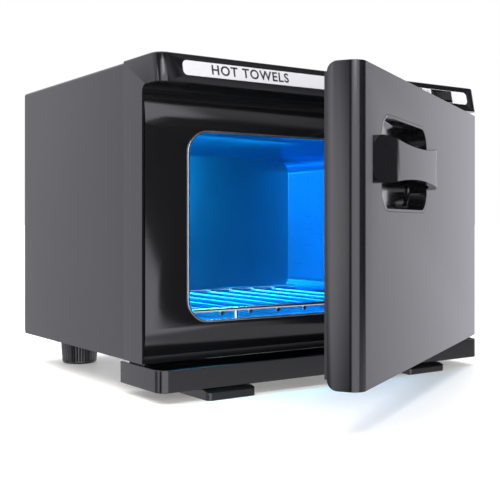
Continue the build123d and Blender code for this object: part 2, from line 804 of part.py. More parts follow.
with BuildPart() as uv_reflector:
    with BuildSketch(facing(lamp_front + 3.0)):
        with Locations((-opening_half + reflector_thickness / 2, lamp_z)):
            Rectangle(reflector_thickness, reflector_height - 12.0)
        with BuildLine():
            low = lamp_z - reflector_half
            Polyline(
                (-opening_half, low + 6.0), (-opening_half + 5.0, low), (-opening_half + 5.6, low + 0.5),
                (-opening_half + reflector_thickness, low + 6.5), close=True,
            )
        make_face()
    extrude(amount=-(lamp_length - 6.0))
uv_reflector.part.label = "uv_reflector"

with BuildPart() as uv_guard:
    # three wires along the tube, joined by two hoops that clip to the reflector's side of the wall
    guard_radius = lamp_radius + guard_reach
    lamp_mid = (lamp_front + lamp_back) / 2
    guard_front = lamp_front + guard_end
    guard_back = lamp_back - guard_end
    for angle in (-guard_spread, 0.0, guard_spread):
        with BuildSketch(facing(guard_front - guard_overhang)):
            with Locations((
                lamp_x + guard_radius * cos(radians(angle)), lamp_z + guard_radius * sin(radians(angle))
            )):
                Circle(guard_wire_radius)
        extrude(amount=-(guard_back - guard_front + 2 * guard_overhang))
    hoop_start = radians(-hoop_half_turn)
    hoop_plane = Plane(
        origin=(lamp_x, 0, lamp_z),
        x_dir=(cos(hoop_start), 0, sin(hoop_start)),
        z_dir=(-sin(hoop_start), 0, cos(hoop_start)),
    )
    hoop_radius = guard_radius + 1.4 * guard_wire_radius
    with BuildSketch(hoop_plane):
        with Locations(*[(hoop_radius, y) for y in (guard_front, lamp_mid, guard_back)]):
            Circle(guard_wire_radius)
    revolve(axis=Axis((lamp_x, 0, lamp_z), (0, -1, 0)), revolution_arc=2 * hoop_half_turn)
uv_guard.part.label = "uv_guard"

# ------------------------------------------------------------------ electrical pieces on the base pan
with BuildPart() as ballast:
    with BuildSketch(level(pan_top)):
        with Locations(ballast_place):
            Rectangle(ballast_size[0], ballast_size[1])
    extrude(amount=1.2)
    with BuildSketch(level(pan_top)):
        with Locations(ballast_place):
            Rectangle(ballast_size[0] - 14.0, ballast_size[1])
    extrude(amount=ballast_size[2])
ballast.part.label = "ballast"

with BuildPart() as terminal_block:
    with BuildSketch(level(pan_top)):
        with Locations(terminal_place):
            Rectangle(terminal_size[0], terminal_size[1])
    extrude(amount=terminal_size[2])
    with BuildSketch(level(pan_top + terminal_size[2])):
        with Locations(terminal_place):
            with GridLocations(9.0, 8.0, 3, 2):
                Circle(2.2)
    extrude(amount=-3.0, mode=Mode.SUBTRACT)
terminal_block.part.label = "terminal_block"

with BuildPart() as lamp_starter:
    starter_x, starter_y = starter_place
    with BuildSketch(across(starter_x - starter_length / 2)):
        with Locations((starter_y, pan_top + starter_radius)):
            Circle(starter_radius)
    extrude(amount=starter_length)
lamp_starter.part.label = "lamp_starter"

# ------------------------------------------------------------------ hinge, fixed side
bracket_right = half_width - bracket_edge
bracket_mid_x = bracket_right - bracket_width / 2
bracket_mid_y = bracket_front + bracket_length / 2


def hinge_bracket(bottom, thickness, screw_places):
    """Flat steel ear that carries a hinge pin."""
    with BuildPart() as ear:
        with BuildSketch(level(bottom)):
            with Locations((bracket_mid_x, bracket_mid_y)):
                RectangleRounded(bracket_width, bracket_length, 4.0)
            with Locations((hinge_x, hinge_setback)):
                Circle(hinge_pin_radius, mode=Mode.SUBTRACT)
            with Locations(*screw_places):
                Circle(screw_shank_radius, mode=Mode.SUBTRACT)
        extrude(amount=thickness)
    return ear


upper_bracket_bottom = fascia_bottom + frame_wall
upper_hinge_bracket = hinge_bracket(upper_bracket_bottom, upper_bracket_thickness, upper_screw_places)
upper_hinge_bracket.part.label = "upper_hinge_bracket"
lower_bracket_bottom = frame_bottom - bracket_thickness
lower_hinge_bracket = hinge_bracket(lower_bracket_bottom, bracket_thickness, bracket_screw_places)
lower_hinge_bracket.part.label = "lower_hinge_bracket"

with BuildPart() as upper_hinge_pin:
    with BuildSketch(level(door_top - hinge_engagement)):
        with Locations((hinge_x, hinge_setback)):
            Circle(hinge_pin_radius)
    extrude(amount=upper_bracket_bottom + upper_bracket_thickness - door_top + hinge_engagement)
    chamfer(upper_hinge_pin.edges().group_by(Axis.Z)[0], 0.6)
upper_hinge_pin.part.label = "upper_hinge_pin"

with BuildPart() as lower_hinge_pin:
    with BuildSketch(level(lower_bracket_bottom)):
        with Locations((hinge_x, hinge_setback)):
            Circle(hinge_pin_radius)
    extrude(amount=door_bottom + hinge_engagement - lower_bracket_bottom)
    chamfer(lower_hinge_pin.edges().group_by(Axis.Z)[-1], 0.6)
lower_hinge_pin.part.label = "lower_hinge_pin"

with BuildPart() as thrust_washer:
    with BuildSketch(level(frame_bottom)):
        with Locations((hinge_x, hinge_setback)):
            Circle(washer_radius)
            Circle(hinge_pin_radius, mode=Mode.SUBTRACT)
    extrude(amount=washer_thickness)
thrust_washer.part.label = "thrust_washer"

# ------------------------------------------------------------------ magnetic catch and tray guides
magnet_x = -half_width + magnet_from_side
with BuildPart() as catch_magnet:
    with BuildSketch(facing(recess_floor + frame_wall)):
        with Locations((magnet_x, door_mid)):
            Rectangle(magnet_size[0], magnet_size[2])
    extrude(amount=-magnet_size[1])
catch_magnet.part.label = "catch_magnet"

with BuildPart() as tray_guides:
    guide_x = half_width - tray_wall - guide_clearance - guide_width / 2
    guide_y = rim_depth + 1.0 + guide_length / 2
    with BuildSketch(level(frame_bottom)):
        for side in (-1, 1):
            with Locations((side * guide_x, guide_y)):
                Rectangle(guide_width, guide_length)
    extrude(amount=-guide_drop)
    with BuildSketch(level(frame_bottom)):
        with Locations((bracket_mid_x, bracket_mid_y)):
            Rectangle(bracket_width + 0.4, bracket_length + 0.4)
    extrude(amount=-bracket_thickness, mode=Mode.SUBTRACT)
tray_guides.part.label = "tray_guides"

# ------------------------------------------------------------------ feet
for_left, for_right = front_foot_xs


def front_foot(x):
    """Flat pad that runs under the drip tray and turns up to the base pan behind it."""
    with BuildPart() as foot:
        with BuildSketch(across(x - front_foot_width / 2)):
            Polygon(
                (-front_foot_reach, 0), (foot_post_front + front_foot_post, 0),
                (foot_post_front + front_foot_post, pan_bottom), (foot_post_front, pan_bottom),
                (foot_post_front, front_foot_top), (0, front_foot_top),
                (-front_foot_reach, front_foot_nose), align=None,
            )
        extrude(amount=front_foot_width)
        nose = foot.faces().sort_by(Axis.Y)[0]
        fillet(nose.edges().filter_by(Axis.Z), front_foot_radius)
        with BuildSketch(level(0)):
            with Locations((x, foot_post_mid)):
                Circle(screw_head_radius + driver_play)
        extrude(amount=pan_bottom - foot_bore, mode=Mode.SUBTRACT)
        with BuildSketch(level(0)):
            with Locations((x, foot_post_mid)):
                Circle(screw_shank_radius)
        extrude(amount=pan_bottom, mode=Mode.SUBTRACT)
    return foot


front_foot_a = front_foot(for_left)
front_foot_a.part.label = "front_foot_left"
front_foot_b = front_foot(for_right)
front_foot_b.part.label = "front_foot_right"


def rear_foot(place):
    """Round tapered rubber foot with a sunk screw."""
    with BuildPart() as foot:
        x, y = place
        with BuildSketch(level(0)):
            with Locations(place):
                Circle(rear_foot_base_radius)
        with BuildSketch(level(pan_bottom)):
            with Locations(place):
                Circle(rear_foot_top_radius)
        loft()
        fillet(foot.edges().group_by(Axis.Z)[0], rear_foot_edge)
        with BuildSketch(level(0)):
            with Locations(place):
                Circle(screw_head_radius + driver_play)
        extrude(amount=pan_bottom - foot_bore, mode=Mode.SUBTRACT)
        with BuildSketch(level(0)):
            with Locations(place):
                Circle(screw_shank_radius)
        extrude(amount=pan_bottom, mode=Mode.SUBTRACT)
    return foot


rear_foot_a = rear_foot(rear_foot_places[0])
rear_foot_a.part.label = "rear_foot_left"
rear_foot_b = rear_foot(rear_foot_places[1])
rear_foot_b.part.label = "rear_foot_right"


# ------------------------------------------------------------------ screws
def screw_group(seats, shank_length):
    """Equal pan-head screws; each seat is a plane under the head whose normal points out of it."""
    with BuildPart() as group:
        for seat in seats:
            with BuildSketch(seat):
                Circle(screw_head_radius)
            extrude(amount=screw_head_height)
            with BuildSketch(seat):
                Circle(screw_shank_radius)
            extrude(amount=-shank_length)
    return group


def seat_below(x, y, z):
    """Seat for a screw driven upwards."""
    return Plane(origin=(x, y, z), x_dir=(1, 0, 0), z_dir=(0, 0, -1))


def seat_behind(x, y, z):
    """Seat for a screw driven forwards from behind."""
    return Plane(origin=(x, y, z), x_dir=(-1, 0, 0), z_dir=(0, 1, 0))


foot_places = [*front_foot_places, *rear_foot_places]
foot_screws = screw_group(
    [seat_below(x, y, pan_bottom - foot_bore) for x, y in foot_places], foot_bore + pan_thickness
)
foot_screws.part.label = "foot_screws"
rear_panel_screws = screw_group(
    [seat_behind(x, cabinet_depth, z) for x, z in rear_screw_places], rear_thickness + shell_thickness
)
rear_panel_screws.part.label = "rear_panel_screws"
casing_screws = screw_group(
    [seat_below(x, y, frame_bottom) for x, y in flange_screw_places], shell_thickness + pan_thickness
)
casing_screws.part.label = "casing_screws"


def flush_screws(places, head_z, shank_length):
    """Countersunk-size flat screws that hold a hinge bracket, driven downwards from head_z."""
    with BuildPart() as group:
        for x, y in places:
            with BuildSketch(level(head_z)):
                with Locations((x, y)):
                    Circle(screw_head_radius)
            extrude(amount=screw_head_height)
            with BuildSketch(level(head_z)):
                with Locations((x, y)):
                    Circle(screw_shank_radius)
            extrude(amount=-shank_length)
    return group


upper_head = upper_bracket_bottom + upper_bracket_thickness
upper_bracket_screws = flush_screws(
    upper_screw_places, upper_head, upper_bracket_thickness + frame_wall
)
upper_bracket_screws.part.label = "upper_bracket_screws"
lower_bracket_screws = flush_screws(
    bracket_screw_places, frame_bottom + frame_wall, frame_wall + bracket_thickness
)
lower_bracket_screws.part.label = "lower_bracket_screws"

# ------------------------------------------------------------------ drip tray
with BuildPart() as drip_tray:
    with BuildSketch(level(tray_clearance)):
        with Locations((0, tray_depth / 2)):
            Rectangle(cabinet_width, tray_depth)
        fillet(vertices().group_by(Axis.Y)[0], corner_radius)
    extrude(amount=tray_height)
    with BuildSketch(level(tray_clearance + tray_wall)):
        with Locations((0, tray_depth / 2)):
            Rectangle(cabinet_width - 2 * tray_wall, tray_depth - 2 * tray_wall)
        fillet(vertices().group_by(Axis.Y)[0], corner_radius - tray_wall)
    extrude(amount=tray_height, mode=Mode.SUBTRACT)
    # low rear wall, so that the tray slides out under the guides
    with BuildSketch(level(tray_clearance + tray_rear_height)):
        with Locations((0, tray_depth - tray_wall)):
            Rectangle(cabinet_width - 2 * tray_wall, 3 * tray_wall)
    extrude(amount=tray_height, mode=Mode.SUBTRACT)
drip_tray.part.label = "drip_tray"

# ------------------------------------------------------------------ wire rack
rack_base = opening_bottom
rack_wire_z = rack_base + rack_lift + rack_wire_radius
rack_rail_z = rack_wire_z + rack_wire_radius + rack_rail_radius - rack_weld
rack_half = opening_half - rack_side_gap
rack_front = rim_depth + rack_front_setback
rack_back = chamber_back - chamber_thickness - rack_rear_gap

with BuildPart() as towel_rack:
    # two cross rails
    for rail_y in (rack_front, rack_back):
        with BuildSketch(across(-rack_half)):
            with Locations((rail_y, rack_rail_z)):
                Circle(rack_rail_radius)
        extrude(amount=2 * rack_half)
    # lengthwise wires welded under them
    wire_count = int(2 * rack_half / rack_wire_pitch)
    with BuildSketch(facing(rack_front - rack_rail_radius)):
        with Locations((0, rack_wire_z)):
            with GridLocations(rack_wire_pitch, 0, wire_count, 1):
                Circle(rack_wire_radius)
    extrude(amount=-(rack_back - rack_front + 2 * rack_rail_radius))
    # four short legs
    with BuildSketch(level(rack_base)):
        for rail_y in (rack_front, rack_back):
            for side in (-1, 1):
                with Locations((side * (rack_half - rack_leg_inset), rail_y)):
                    Circle(rack_wire_radius)
    extrude(amount=rack_rail_z - rack_base)
towel_rack.part.label = "towel_rack"

# ------------------------------------------------------------------ door
knuckle_join = sqrt(knuckle_radius**2 - (door_shell_depth - hinge_setback) ** 2)
knuckle_side = hinge_x + knuckle_radius

with BuildPart() as door_shell:
    # outline seen from above: rounded front edges, and a round back corner about the hinge axis
    with BuildSketch(level(door_bottom)):
        with BuildLine():
            nose = door_nose_radius
            Line((-door_half, door_shell_depth), (-door_half, nose))
            RadiusArc((-door_half, nose), (-door_half + nose, 0), -nose)
            Line((-door_half + nose, 0), (knuckle_side - nose, 0))
            RadiusArc((knuckle_side - nose, 0), (knuckle_side, nose), -nose)
            Line((knuckle_side, nose), (knuckle_side, hinge_setback))
            RadiusArc(
                (knuckle_side, hinge_setback), (hinge_x + knuckle_join, door_shell_depth), -knuckle_radius
            )
            Line((hinge_x + knuckle_join, door_shell_depth), (-door_half, door_shell_depth))
        make_face()
    extrude(amount=door_height)
    back_face = door_shell.faces().sort_by(Axis.Y)[-1]
    fillet(back_face.edges().filter_by(Axis.X), door_back_radius)
    # hollow from behind, with a solid stile at the hinge
    cavity_left = -door_half + door_wall
    cavity_half_height = panel_half_height - door_wall
    with BuildSketch(level(door_mid - cavity_half_height)):
        with Locations(((cavity_left + stile_left) / 2, (door_wall + door_shell_depth) / 2)):
            Rectangle(stile_left - cavity_left, door_shell_depth - door_wall)
        fillet(vertices().sort_by_distance((cavity_left, door_wall))[0], door_nose_radius - door_wall)
    extrude(amount=2 * cavity_half_height, mode=Mode.SUBTRACT)
    # bosses for the inner panel's screws
    with BuildSketch(facing(door_wall)):
        with Locations(*door_boss_places):
            Circle(boss_radius)
    extrude(amount=-(door_shell_depth - door_wall))
    with BuildSketch(facing(door_shell_depth)):
        with Locations(*door_boss_places):
            Circle(screw_shank_radius)
    extrude(amount=sheet_screw_length, mode=Mode.SUBTRACT)
    # oval hole for the handle cup
    with BuildSketch(facing(0)):
        with Locations((cup_x, cup_z)):
            RectangleRounded(cup_width, cup_height, cup_corner_radius)
    extrude(amount=-door_wall, mode=Mode.SUBTRACT)
    # bores for the hinge bushes, from below and from above
    for bore_z, depth in ((door_bottom, bush_depth), (door_top, -bush_depth)):
        with BuildSketch(level(bore_z)):
            with Locations((hinge_x, hinge_setback)):
                Circle(bush_radius)
        extrude(amount=depth, mode=Mode.SUBTRACT)
door_shell.part.label = "door_shell"


def hinge_bush(end_z, depth):
    """Plastic bush pressed into the door's stile."""
    with BuildPart() as bush:
        with BuildSketch(level(end_z)):
            with Locations((hinge_x, hinge_setback)):
                Circle(bush_radius)
                Circle(hinge_pin_radius + hinge_running_clearance, mode=Mode.SUBTRACT)
        extrude(amount=depth)
    return bush


lower_bush = hinge_bush(door_bottom, bush_depth)
lower_bush.part.label = "lower_hinge_bush"
upper_bush = hinge_bush(door_top, -bush_depth)
upper_bush.part.label = "upper_hinge_bush"

panel_left = -door_half
with BuildPart() as door_inner_panel:
    with BuildSketch(facing(door_shell_depth)):
        with Locations(((panel_left + panel_right) / 2, door_mid)):
            Rectangle(panel_right - panel_left, 2 * panel_half_height)
        with Locations(*door_boss_places):
            Circle(screw_shank_radius, mode=Mode.SUBTRACT)
    extrude(amount=-panel_thickness)
door_inner_panel.part.label = "door_inner_panel"

with BuildPart() as door_screws:
    for boss_x, boss_z in door_boss_places:
        seat = seat_behind(boss_x, door_depth, boss_z)
        with BuildSketch(seat):
            Circle(screw_head_radius)
        extrude(amount=head_height)
        with BuildSketch(seat):
            Circle(screw_shank_radius)
        extrude(amount=-sheet_screw_length)
door_screws.part.label = "door_screws"

gasket_face = seat_depth - gasket_clearance
with BuildPart() as door_gasket:
    with BuildSketch(facing(door_depth)):
        with Locations((0, opening_mid)):
            outer_grow = gasket_margin + gasket_width
            opening_outline(outer_grow)
            RectangleRounded(
                opening_width + 2 * gasket_margin, opening_height + 2 * gasket_margin,
                opening_radius + gasket_margin, mode=Mode.SUBTRACT,
            )
    extrude(amount=-(gasket_face - door_depth))
door_gasket.part.label = "door_gasket"

with BuildPart() as door_insulation:
    core_left = cavity_left + 3 * core_gap
    core_right = stile_left - core_gap
    with BuildSketch(facing(door_shell_depth - strike_thickness - strike_gap)):
        with Locations(((core_left + core_right) / 2, door_mid)):
            Rectangle(core_right - core_left, 2 * cavity_half_height - 2 * core_gap)
        with Locations((cup_x, cup_z)):
            RectangleRounded(
                cup_width + 2 * core_gap, cup_height + 2 * core_gap, cup_corner_radius + core_gap,
                mode=Mode.SUBTRACT,
            )
        with Locations(*door_boss_places):
            Circle(boss_radius + core_gap, mode=Mode.SUBTRACT)
    extrude(amount=door_shell_depth - strike_thickness - strike_gap - door_wall - core_gap)
door_insulation.part.label = "door_insulation"

with BuildPart() as strike_plate:
    with BuildSketch(facing(door_shell_depth)):
        with Locations((magnet_x + 2.0, door_mid - 34.0)):
            Rectangle(strike_size[0], strike_size[1] - 20.0)
    extrude(amount=strike_thickness)
strike_plate.part.label = "strike_plate"

with BuildPart() as handle_cup:
    with BuildSketch(facing(0)):
        with Locations((cup_x, cup_z)):
            RectangleRounded(
                cup_width - 2 * cup_clearance, cup_height - 2 * cup_clearance,
                cup_corner_radius - cup_clearance,
            )
    extrude(amount=-cup_depth, taper=cup_draft)
    fillet(handle_cup.faces().sort_by(Axis.Y)[-1].edges(), cup_floor_radius)
    # hollow, open to the front
    hollow_inset = cup_clearance + cup_wall
    with BuildSketch(facing(0)):
        with Locations((cup_x, cup_z)):
            RectangleRounded(
                cup_width - 2 * hollow_inset, cup_height - 2 * hollow_inset,
                cup_corner_radius - hollow_inset,
            )
    extrude(amount=-(cup_depth - cup_wall), taper=cup_draft, mode=Mode.SUBTRACT)
    floor_face = handle_cup.faces().filter_by(Axis.Y).sort_by(Axis.Y)[-2]
    fillet(floor_face.edges(), cup_floor_radius - cup_wall / 2)
handle_cup.part.label = "handle_cup"

with BuildPart() as handle_grip:
    # band seen from above: sloping ends and a gently bowed middle
    grip_z = cup_z + grip_lift
    end = grip_length / 2
    flat = grip_flat_length / 2
    inner_end = cup_width / 2 + grip_foot
    inner_flat = flat - grip_inner_slope
    with BuildSketch(level(grip_z - grip_end_height / 2)):
        with BuildLine():
            Line((cup_x - end, 0), (cup_x - flat, -grip_proud))
            ThreePointArc(
                (cup_x - flat, -grip_proud), (cup_x, -grip_proud - grip_crown), (cup_x + flat, -grip_proud)
            )
            Polyline(
                (cup_x + flat, -grip_proud), (cup_x + end, 0), (cup_x + inner_end, 0),
                (cup_x + inner_flat, grip_thickness - grip_proud),
                (cup_x - inner_flat, grip_thickness - grip_proud),
                (cup_x - inner_end, 0), (cup_x - end, 0),
            )
        make_face()
    extrude(amount=grip_end_height)
    # waisted outline seen from the front, with bulging ends
    with BuildSketch(facing(0, cup_x, grip_z)):
        with BuildLine():
            waist = grip_waist_height / 2
            tall = grip_end_height / 2
            corner = end - grip_end_bow
            ThreePointArc((-corner, -tall), (-end, 0), (-corner, tall))
            ThreePointArc((-corner, tall), (0, waist), (corner, tall))
            ThreePointArc((corner, tall), (end, 0), (corner, -tall))
            ThreePointArc((corner, -tall), (0, -waist), (-corner, -tall))
        make_face()
        fillet(vertices(), grip_corner_radius)
    extrude(amount=grip_proud + 2 * grip_crown, mode=Mode.INTERSECT)
handle_grip.part.label = "handle_grip"

# ------------------------------------------------------------------ rest pose, origin and export
cabinet_parts = [
    front_frame, fascia_strip, opening_trim, heat_switch, uv_switch, outer_shell, base_pan, rear_panel,
    cord_gland, gland_nut, inner_chamber, insulation_top, insulation_left, insulation_right,
    insulation_rear, insulation_floor, heater_plate, heater_clamp, thermostat, thermal_fuse,
    chamber_supports, uv_tube, lampholder_front, lampholder_rear, uv_reflector, uv_guard, ballast,
    terminal_block, lamp_starter, upper_hinge_bracket, lower_hinge_bracket, upper_hinge_pin,
    lower_hinge_pin, thrust_washer, catch_magnet, tray_guides, front_foot_a, front_foot_b,
    rear_foot_a, rear_foot_b, foot_screws, rear_panel_screws, casing_screws, upper_bracket_screws,
    lower_bracket_screws,
]
door_parts = [
    door_shell, lower_bush, upper_bush, door_inner_panel, door_screws, door_gasket, door_insulation,
    strike_plate, handle_cup, handle_grip,
]
loose_parts = [drip_tray, towel_rack]

door_axis = Axis((hinge_x, hinge_setback, 0), (0, 0, 1))
placed = [builder.part for builder in cabinet_parts + loose_parts]
placed += [builder.part.rotate(door_axis, door_ajar) for builder in door_parts]
placed += [heat_rocker.part.rotate(heat_axis, -rocker_throw / 2)]
placed += [uv_rocker.part.rotate(uv_axis, -rocker_throw / 2)]
labels = [builder.part.label for builder in cabinet_parts + loose_parts + door_parts]
labels += [heat_rocker.part.label, uv_rocker.part.label]

whole_box = Compound(children=[part.moved(Location()) for part in placed]).bounding_box()
origin_shift = Location((-whole_box.center().X, -whole_box.center().Y, -whole_box.min.Z))
for part, label in zip(placed, labels):
    node = part.moved(origin_shift)
    node.label = label
    export_step(node, f"parts/{label}.step")


# places that a record of this object states, in metres from the origin
for name, place in {
    "door_hinge": (hinge_x, hinge_setback, door_mid),
    "heat_rocker": tuple(heat_axis.position),
    "uv_rocker": tuple(uv_axis.position),
    "cord_bore": (gland_x, cabinet_depth + gland_flange + gland_collar, gland_height),
    "top_face": (0, (frame_depth + shell_end) / 2, shell_top),
    "foot_sole": (for_left, foot_post_front / 2, 0),
    "chamber_low": (lamp_x + guard_radius + 4.0, seat_depth - 4.0, rack_rail_z + rack_rail_radius + 1.2),
    "chamber_high": (
        opening_half - towel_margin, chamber_back - chamber_thickness - space_gap, opening_top - towel_margin,
    ),
    "tray_low": (tray_margin - half_width, tray_wall + space_gap, tray_clearance + tray_wall + 0.5),
    "tray_high": (half_width - tray_margin, tray_depth - tray_wall - space_gap, tray_top - 0.3),
    "grip_centre": (cup_x, 0, grip_z),
}.items():
    moved = Vector(*place) + origin_shift.position
    print(name, round(moved.X / 1000, 6), round(moved.Y / 1000, 6), round(moved.Z / 1000, 6))
print("rocker_axis", *(round(value, 6) for value in tuple(heat_axis.direction)))
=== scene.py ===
"""Hot towel cabinet: finishes, detail pieces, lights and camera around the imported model.

Every sub-assembly is a class that builds its own pieces and dresses them. Lengths are metres.
The cabinet's front faces -Y, its door hinges on the +X side, and it stands on z = 0.
"""

import json
import logging
import math
from dataclasses import dataclass, field
from enum import Enum

import bmesh
import bpy
from mathutils import Matrix, Vector


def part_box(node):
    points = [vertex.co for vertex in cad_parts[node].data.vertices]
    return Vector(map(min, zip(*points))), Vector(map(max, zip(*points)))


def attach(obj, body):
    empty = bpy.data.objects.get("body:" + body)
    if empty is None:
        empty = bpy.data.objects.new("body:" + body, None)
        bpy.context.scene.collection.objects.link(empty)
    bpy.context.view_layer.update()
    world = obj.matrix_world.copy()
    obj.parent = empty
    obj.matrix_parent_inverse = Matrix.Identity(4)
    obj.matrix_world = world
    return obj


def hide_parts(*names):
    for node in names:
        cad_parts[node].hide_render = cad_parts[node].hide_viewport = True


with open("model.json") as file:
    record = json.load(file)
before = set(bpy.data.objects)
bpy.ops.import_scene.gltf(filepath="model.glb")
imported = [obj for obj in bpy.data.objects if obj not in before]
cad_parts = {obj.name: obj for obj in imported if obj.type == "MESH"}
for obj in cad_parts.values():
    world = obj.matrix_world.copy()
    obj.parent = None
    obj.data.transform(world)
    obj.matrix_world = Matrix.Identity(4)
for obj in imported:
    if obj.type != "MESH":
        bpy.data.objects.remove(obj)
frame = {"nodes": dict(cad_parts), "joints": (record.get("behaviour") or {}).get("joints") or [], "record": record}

LOG = logging.getLogger("hot_towel_cabinet")
MM = 0.001
FULL_TURN = 2 * math.pi
WELD = 0.002 * MM
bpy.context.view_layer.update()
Colour = tuple[float, float, float]
Triple = tuple[float, float, float]


def shade(colour: Colour, factor: float) -> Colour:
    """A colour made darker or lighter by a factor."""
    return tuple(channel * factor for channel in colour)


# --------------------------------------------------------------------------- shader expressions
class Value:
    """A shader socket that takes part in Python expressions."""

    def __init__(self, graph: "NodeSheet", socket: bpy.types.NodeSocket) -> None:
        """Keep the socket and the graph that owns it."""
        self.graph = graph
        self.socket = socket

    def _math(self, operation: str, left: object, right: object = None) -> "Value":
        """Add one Math node.

        Args:
            operation: Blender's name of the operation.
            left: first operand, a number or a Value.
            right: second operand, where there is one.

        Returns:
            The result as a Value.
        """
        inputs = {0: left} if right is None else {0: left, 1: right}
        return self.graph.node("ShaderNodeMath", {"operation": operation}, inputs)

    def __add__(self, other: object) -> "Value":
        """Sum."""
        return self._math("ADD", self, other)

    def __radd__(self, other: object) -> "Value":
        """Sum with a number on the left."""
        return self._math("ADD", other, self)

    def __sub__(self, other: object) -> "Value":
        """Difference."""
        return self._math("SUBTRACT", self, other)

    def __rsub__(self, other: object) -> "Value":
        """Difference with a number on the left."""
        return self._math("SUBTRACT", other, self)

    def __mul__(self, other: object) -> "Value":
        """Product."""
        return self._math("MULTIPLY", self, other)

    def __rmul__(self, other: object) -> "Value":
        """Product with a number on the left."""
        return self._math("MULTIPLY", other, self)

    def __truediv__(self, other: object) -> "Value":
        """Quotient."""
        return self._math("DIVIDE", self, other)

    def either(self, other: object) -> "Value":
        """The larger of two values."""
        return self._math("MAXIMUM", self, other)

    def ramp(self, low: float, high: float) -> "Value":
        """Zero under the low limit, one over the high limit, and straight between them."""
        return ((self - low) / (high - low)).clamp(0.0, 1.0)

    def clamp(self, low: float, high: float) -> "Value":
        """The value held between two limits."""
        return self._math("MINIMUM", self._math("MAXIMUM", self, low), high)


class NodeSheet:
    """A node tree with one call that adds any node."""

    def __init__(self, tree: bpy.types.NodeTree) -> None:
        """Start the tree empty."""
        self.tree = tree
        self.tree.nodes.clear()

    def node(self, kind: str, settings: dict, inputs: dict, output: int | str = 0) -> Value:
        """Add a node.

        Args:
            kind: the node's type.
            settings: attributes set first; "stops" fills a colour ramp.
            inputs: values or links by socket name or number.
            output: which output to return.

        Returns:
            The output as a Value.
        """
        node = self.tree.nodes.new(kind)
        for key, setting in settings.items():
            if key == "stops":
                self._fill_ramp(node.color_ramp, setting)
            else:
                setattr(node, key, setting)
        for key, value in inputs.items():
            self.put(node.inputs[key], value)
        return Value(self, node.outputs[output])

    @staticmethod
    def _fill_ramp(ramp: bpy.types.ColorRamp, stops: list[tuple[float, Colour]]) -> None:
        """Place a colour ramp's stops.

        Args:
            ramp: the ramp to fill.
            stops: positions and colours, from left to right.
        """
        while len(ramp.elements) < len(stops):
            ramp.elements.new(0.5)
        for element, (position, colour) in zip(ramp.elements, stops):
            element.position = position
            element.color = (*colour, 1.0)

    def node_input(self, kind: str, socket: str, value: Value) -> None:
        """Add a node that has no output and link one of its sockets."""
        self.put(self.tree.nodes.new(kind).inputs[socket], value)

    def put(self, socket: bpy.types.NodeSocket, value: object) -> None:
        """Link a Value to a socket, or set a plain value on it.

        Args:
            socket: the socket to feed.
            value: a Value, a number, or a colour as three numbers.
        """
        if isinstance(value, Value):
            self.tree.links.new(value.socket, socket)
        elif isinstance(value, tuple) and len(value) == 3 and socket.type == "RGBA":
            socket.default_value = (*value, 1.0)
        else:
            socket.default_value = value


class Graph(NodeSheet):
    """One material's node tree, with short calls for the nodes that the finishes use."""

    def __init__(self, name: str) -> None:
        """Make an empty material with a Principled shader and an output."""
        self.material = bpy.data.materials.new(name)
        self.material.use_nodes = True
        super().__init__(self.material.node_tree)
        self.shader = self.tree.nodes.new("ShaderNodeBsdfPrincipled")
        output = self.tree.nodes.new("ShaderNodeOutputMaterial")
        self.tree.links.new(self.shader.outputs["BSDF"], output.inputs["Surface"])
        self.coordinates = self.node("ShaderNodeTexCoord", {}, {}, output="Object")

    def set(self, **inputs: object) -> None:
        """Set the Principled shader's sockets; underscores in a name stand for spaces."""
        for key, value in inputs.items():
            self.put(self.shader.inputs[key.replace("_", " ")], value)

    def stretched(self, stretch: Triple) -> Value:
        """Object coordinates scaled by a factor along each axis."""
        return self.node("ShaderNodeMapping", {}, {"Vector": self.coordinates, "Scale": stretch})

    def noise(
        self, scale: float, detail: float = 3.0, roughness: float = 0.55, vector: Value | None = None,
    ) -> Value:
        """Add fractal noise.

        Args:
            scale: features per metre.
            detail: how many finer layers it has.
            roughness: strength of the finer layers.
            vector: coordinates other than the object's own.

        Returns:
            A value between 0 and 1.
        """
        inputs = {
            "Vector": vector or self.coordinates, "Scale": scale,
            "Detail": detail, "Roughness": roughness,
        }
        return self.node("ShaderNodeTexNoise", {}, inputs)

    def blend(self, factor: object, low: object, high: object) -> Value:
        """Mix two colours.

        Args:
            factor: 0 for the low colour, 1 for the high one.
            low: first colour.
            high: second colour.

        Returns:
            The mixed colour.
        """
        node = self.tree.nodes.new("ShaderNodeMix")
        node.data_type = "RGBA"
        for socket, value in ((0, factor), (6, low), (7, high)):
            self.put(node.inputs[socket], value)
        return Value(self, node.outputs[2])

    def bump(self, height: object, distance: float, strength: float = 1.0) -> Value:
        """Normal from a height field; distance is the relief in metres."""
        inputs = {"Height": height, "Distance": distance, "Strength": strength}
        return self.node("ShaderNodeBump", {}, inputs)


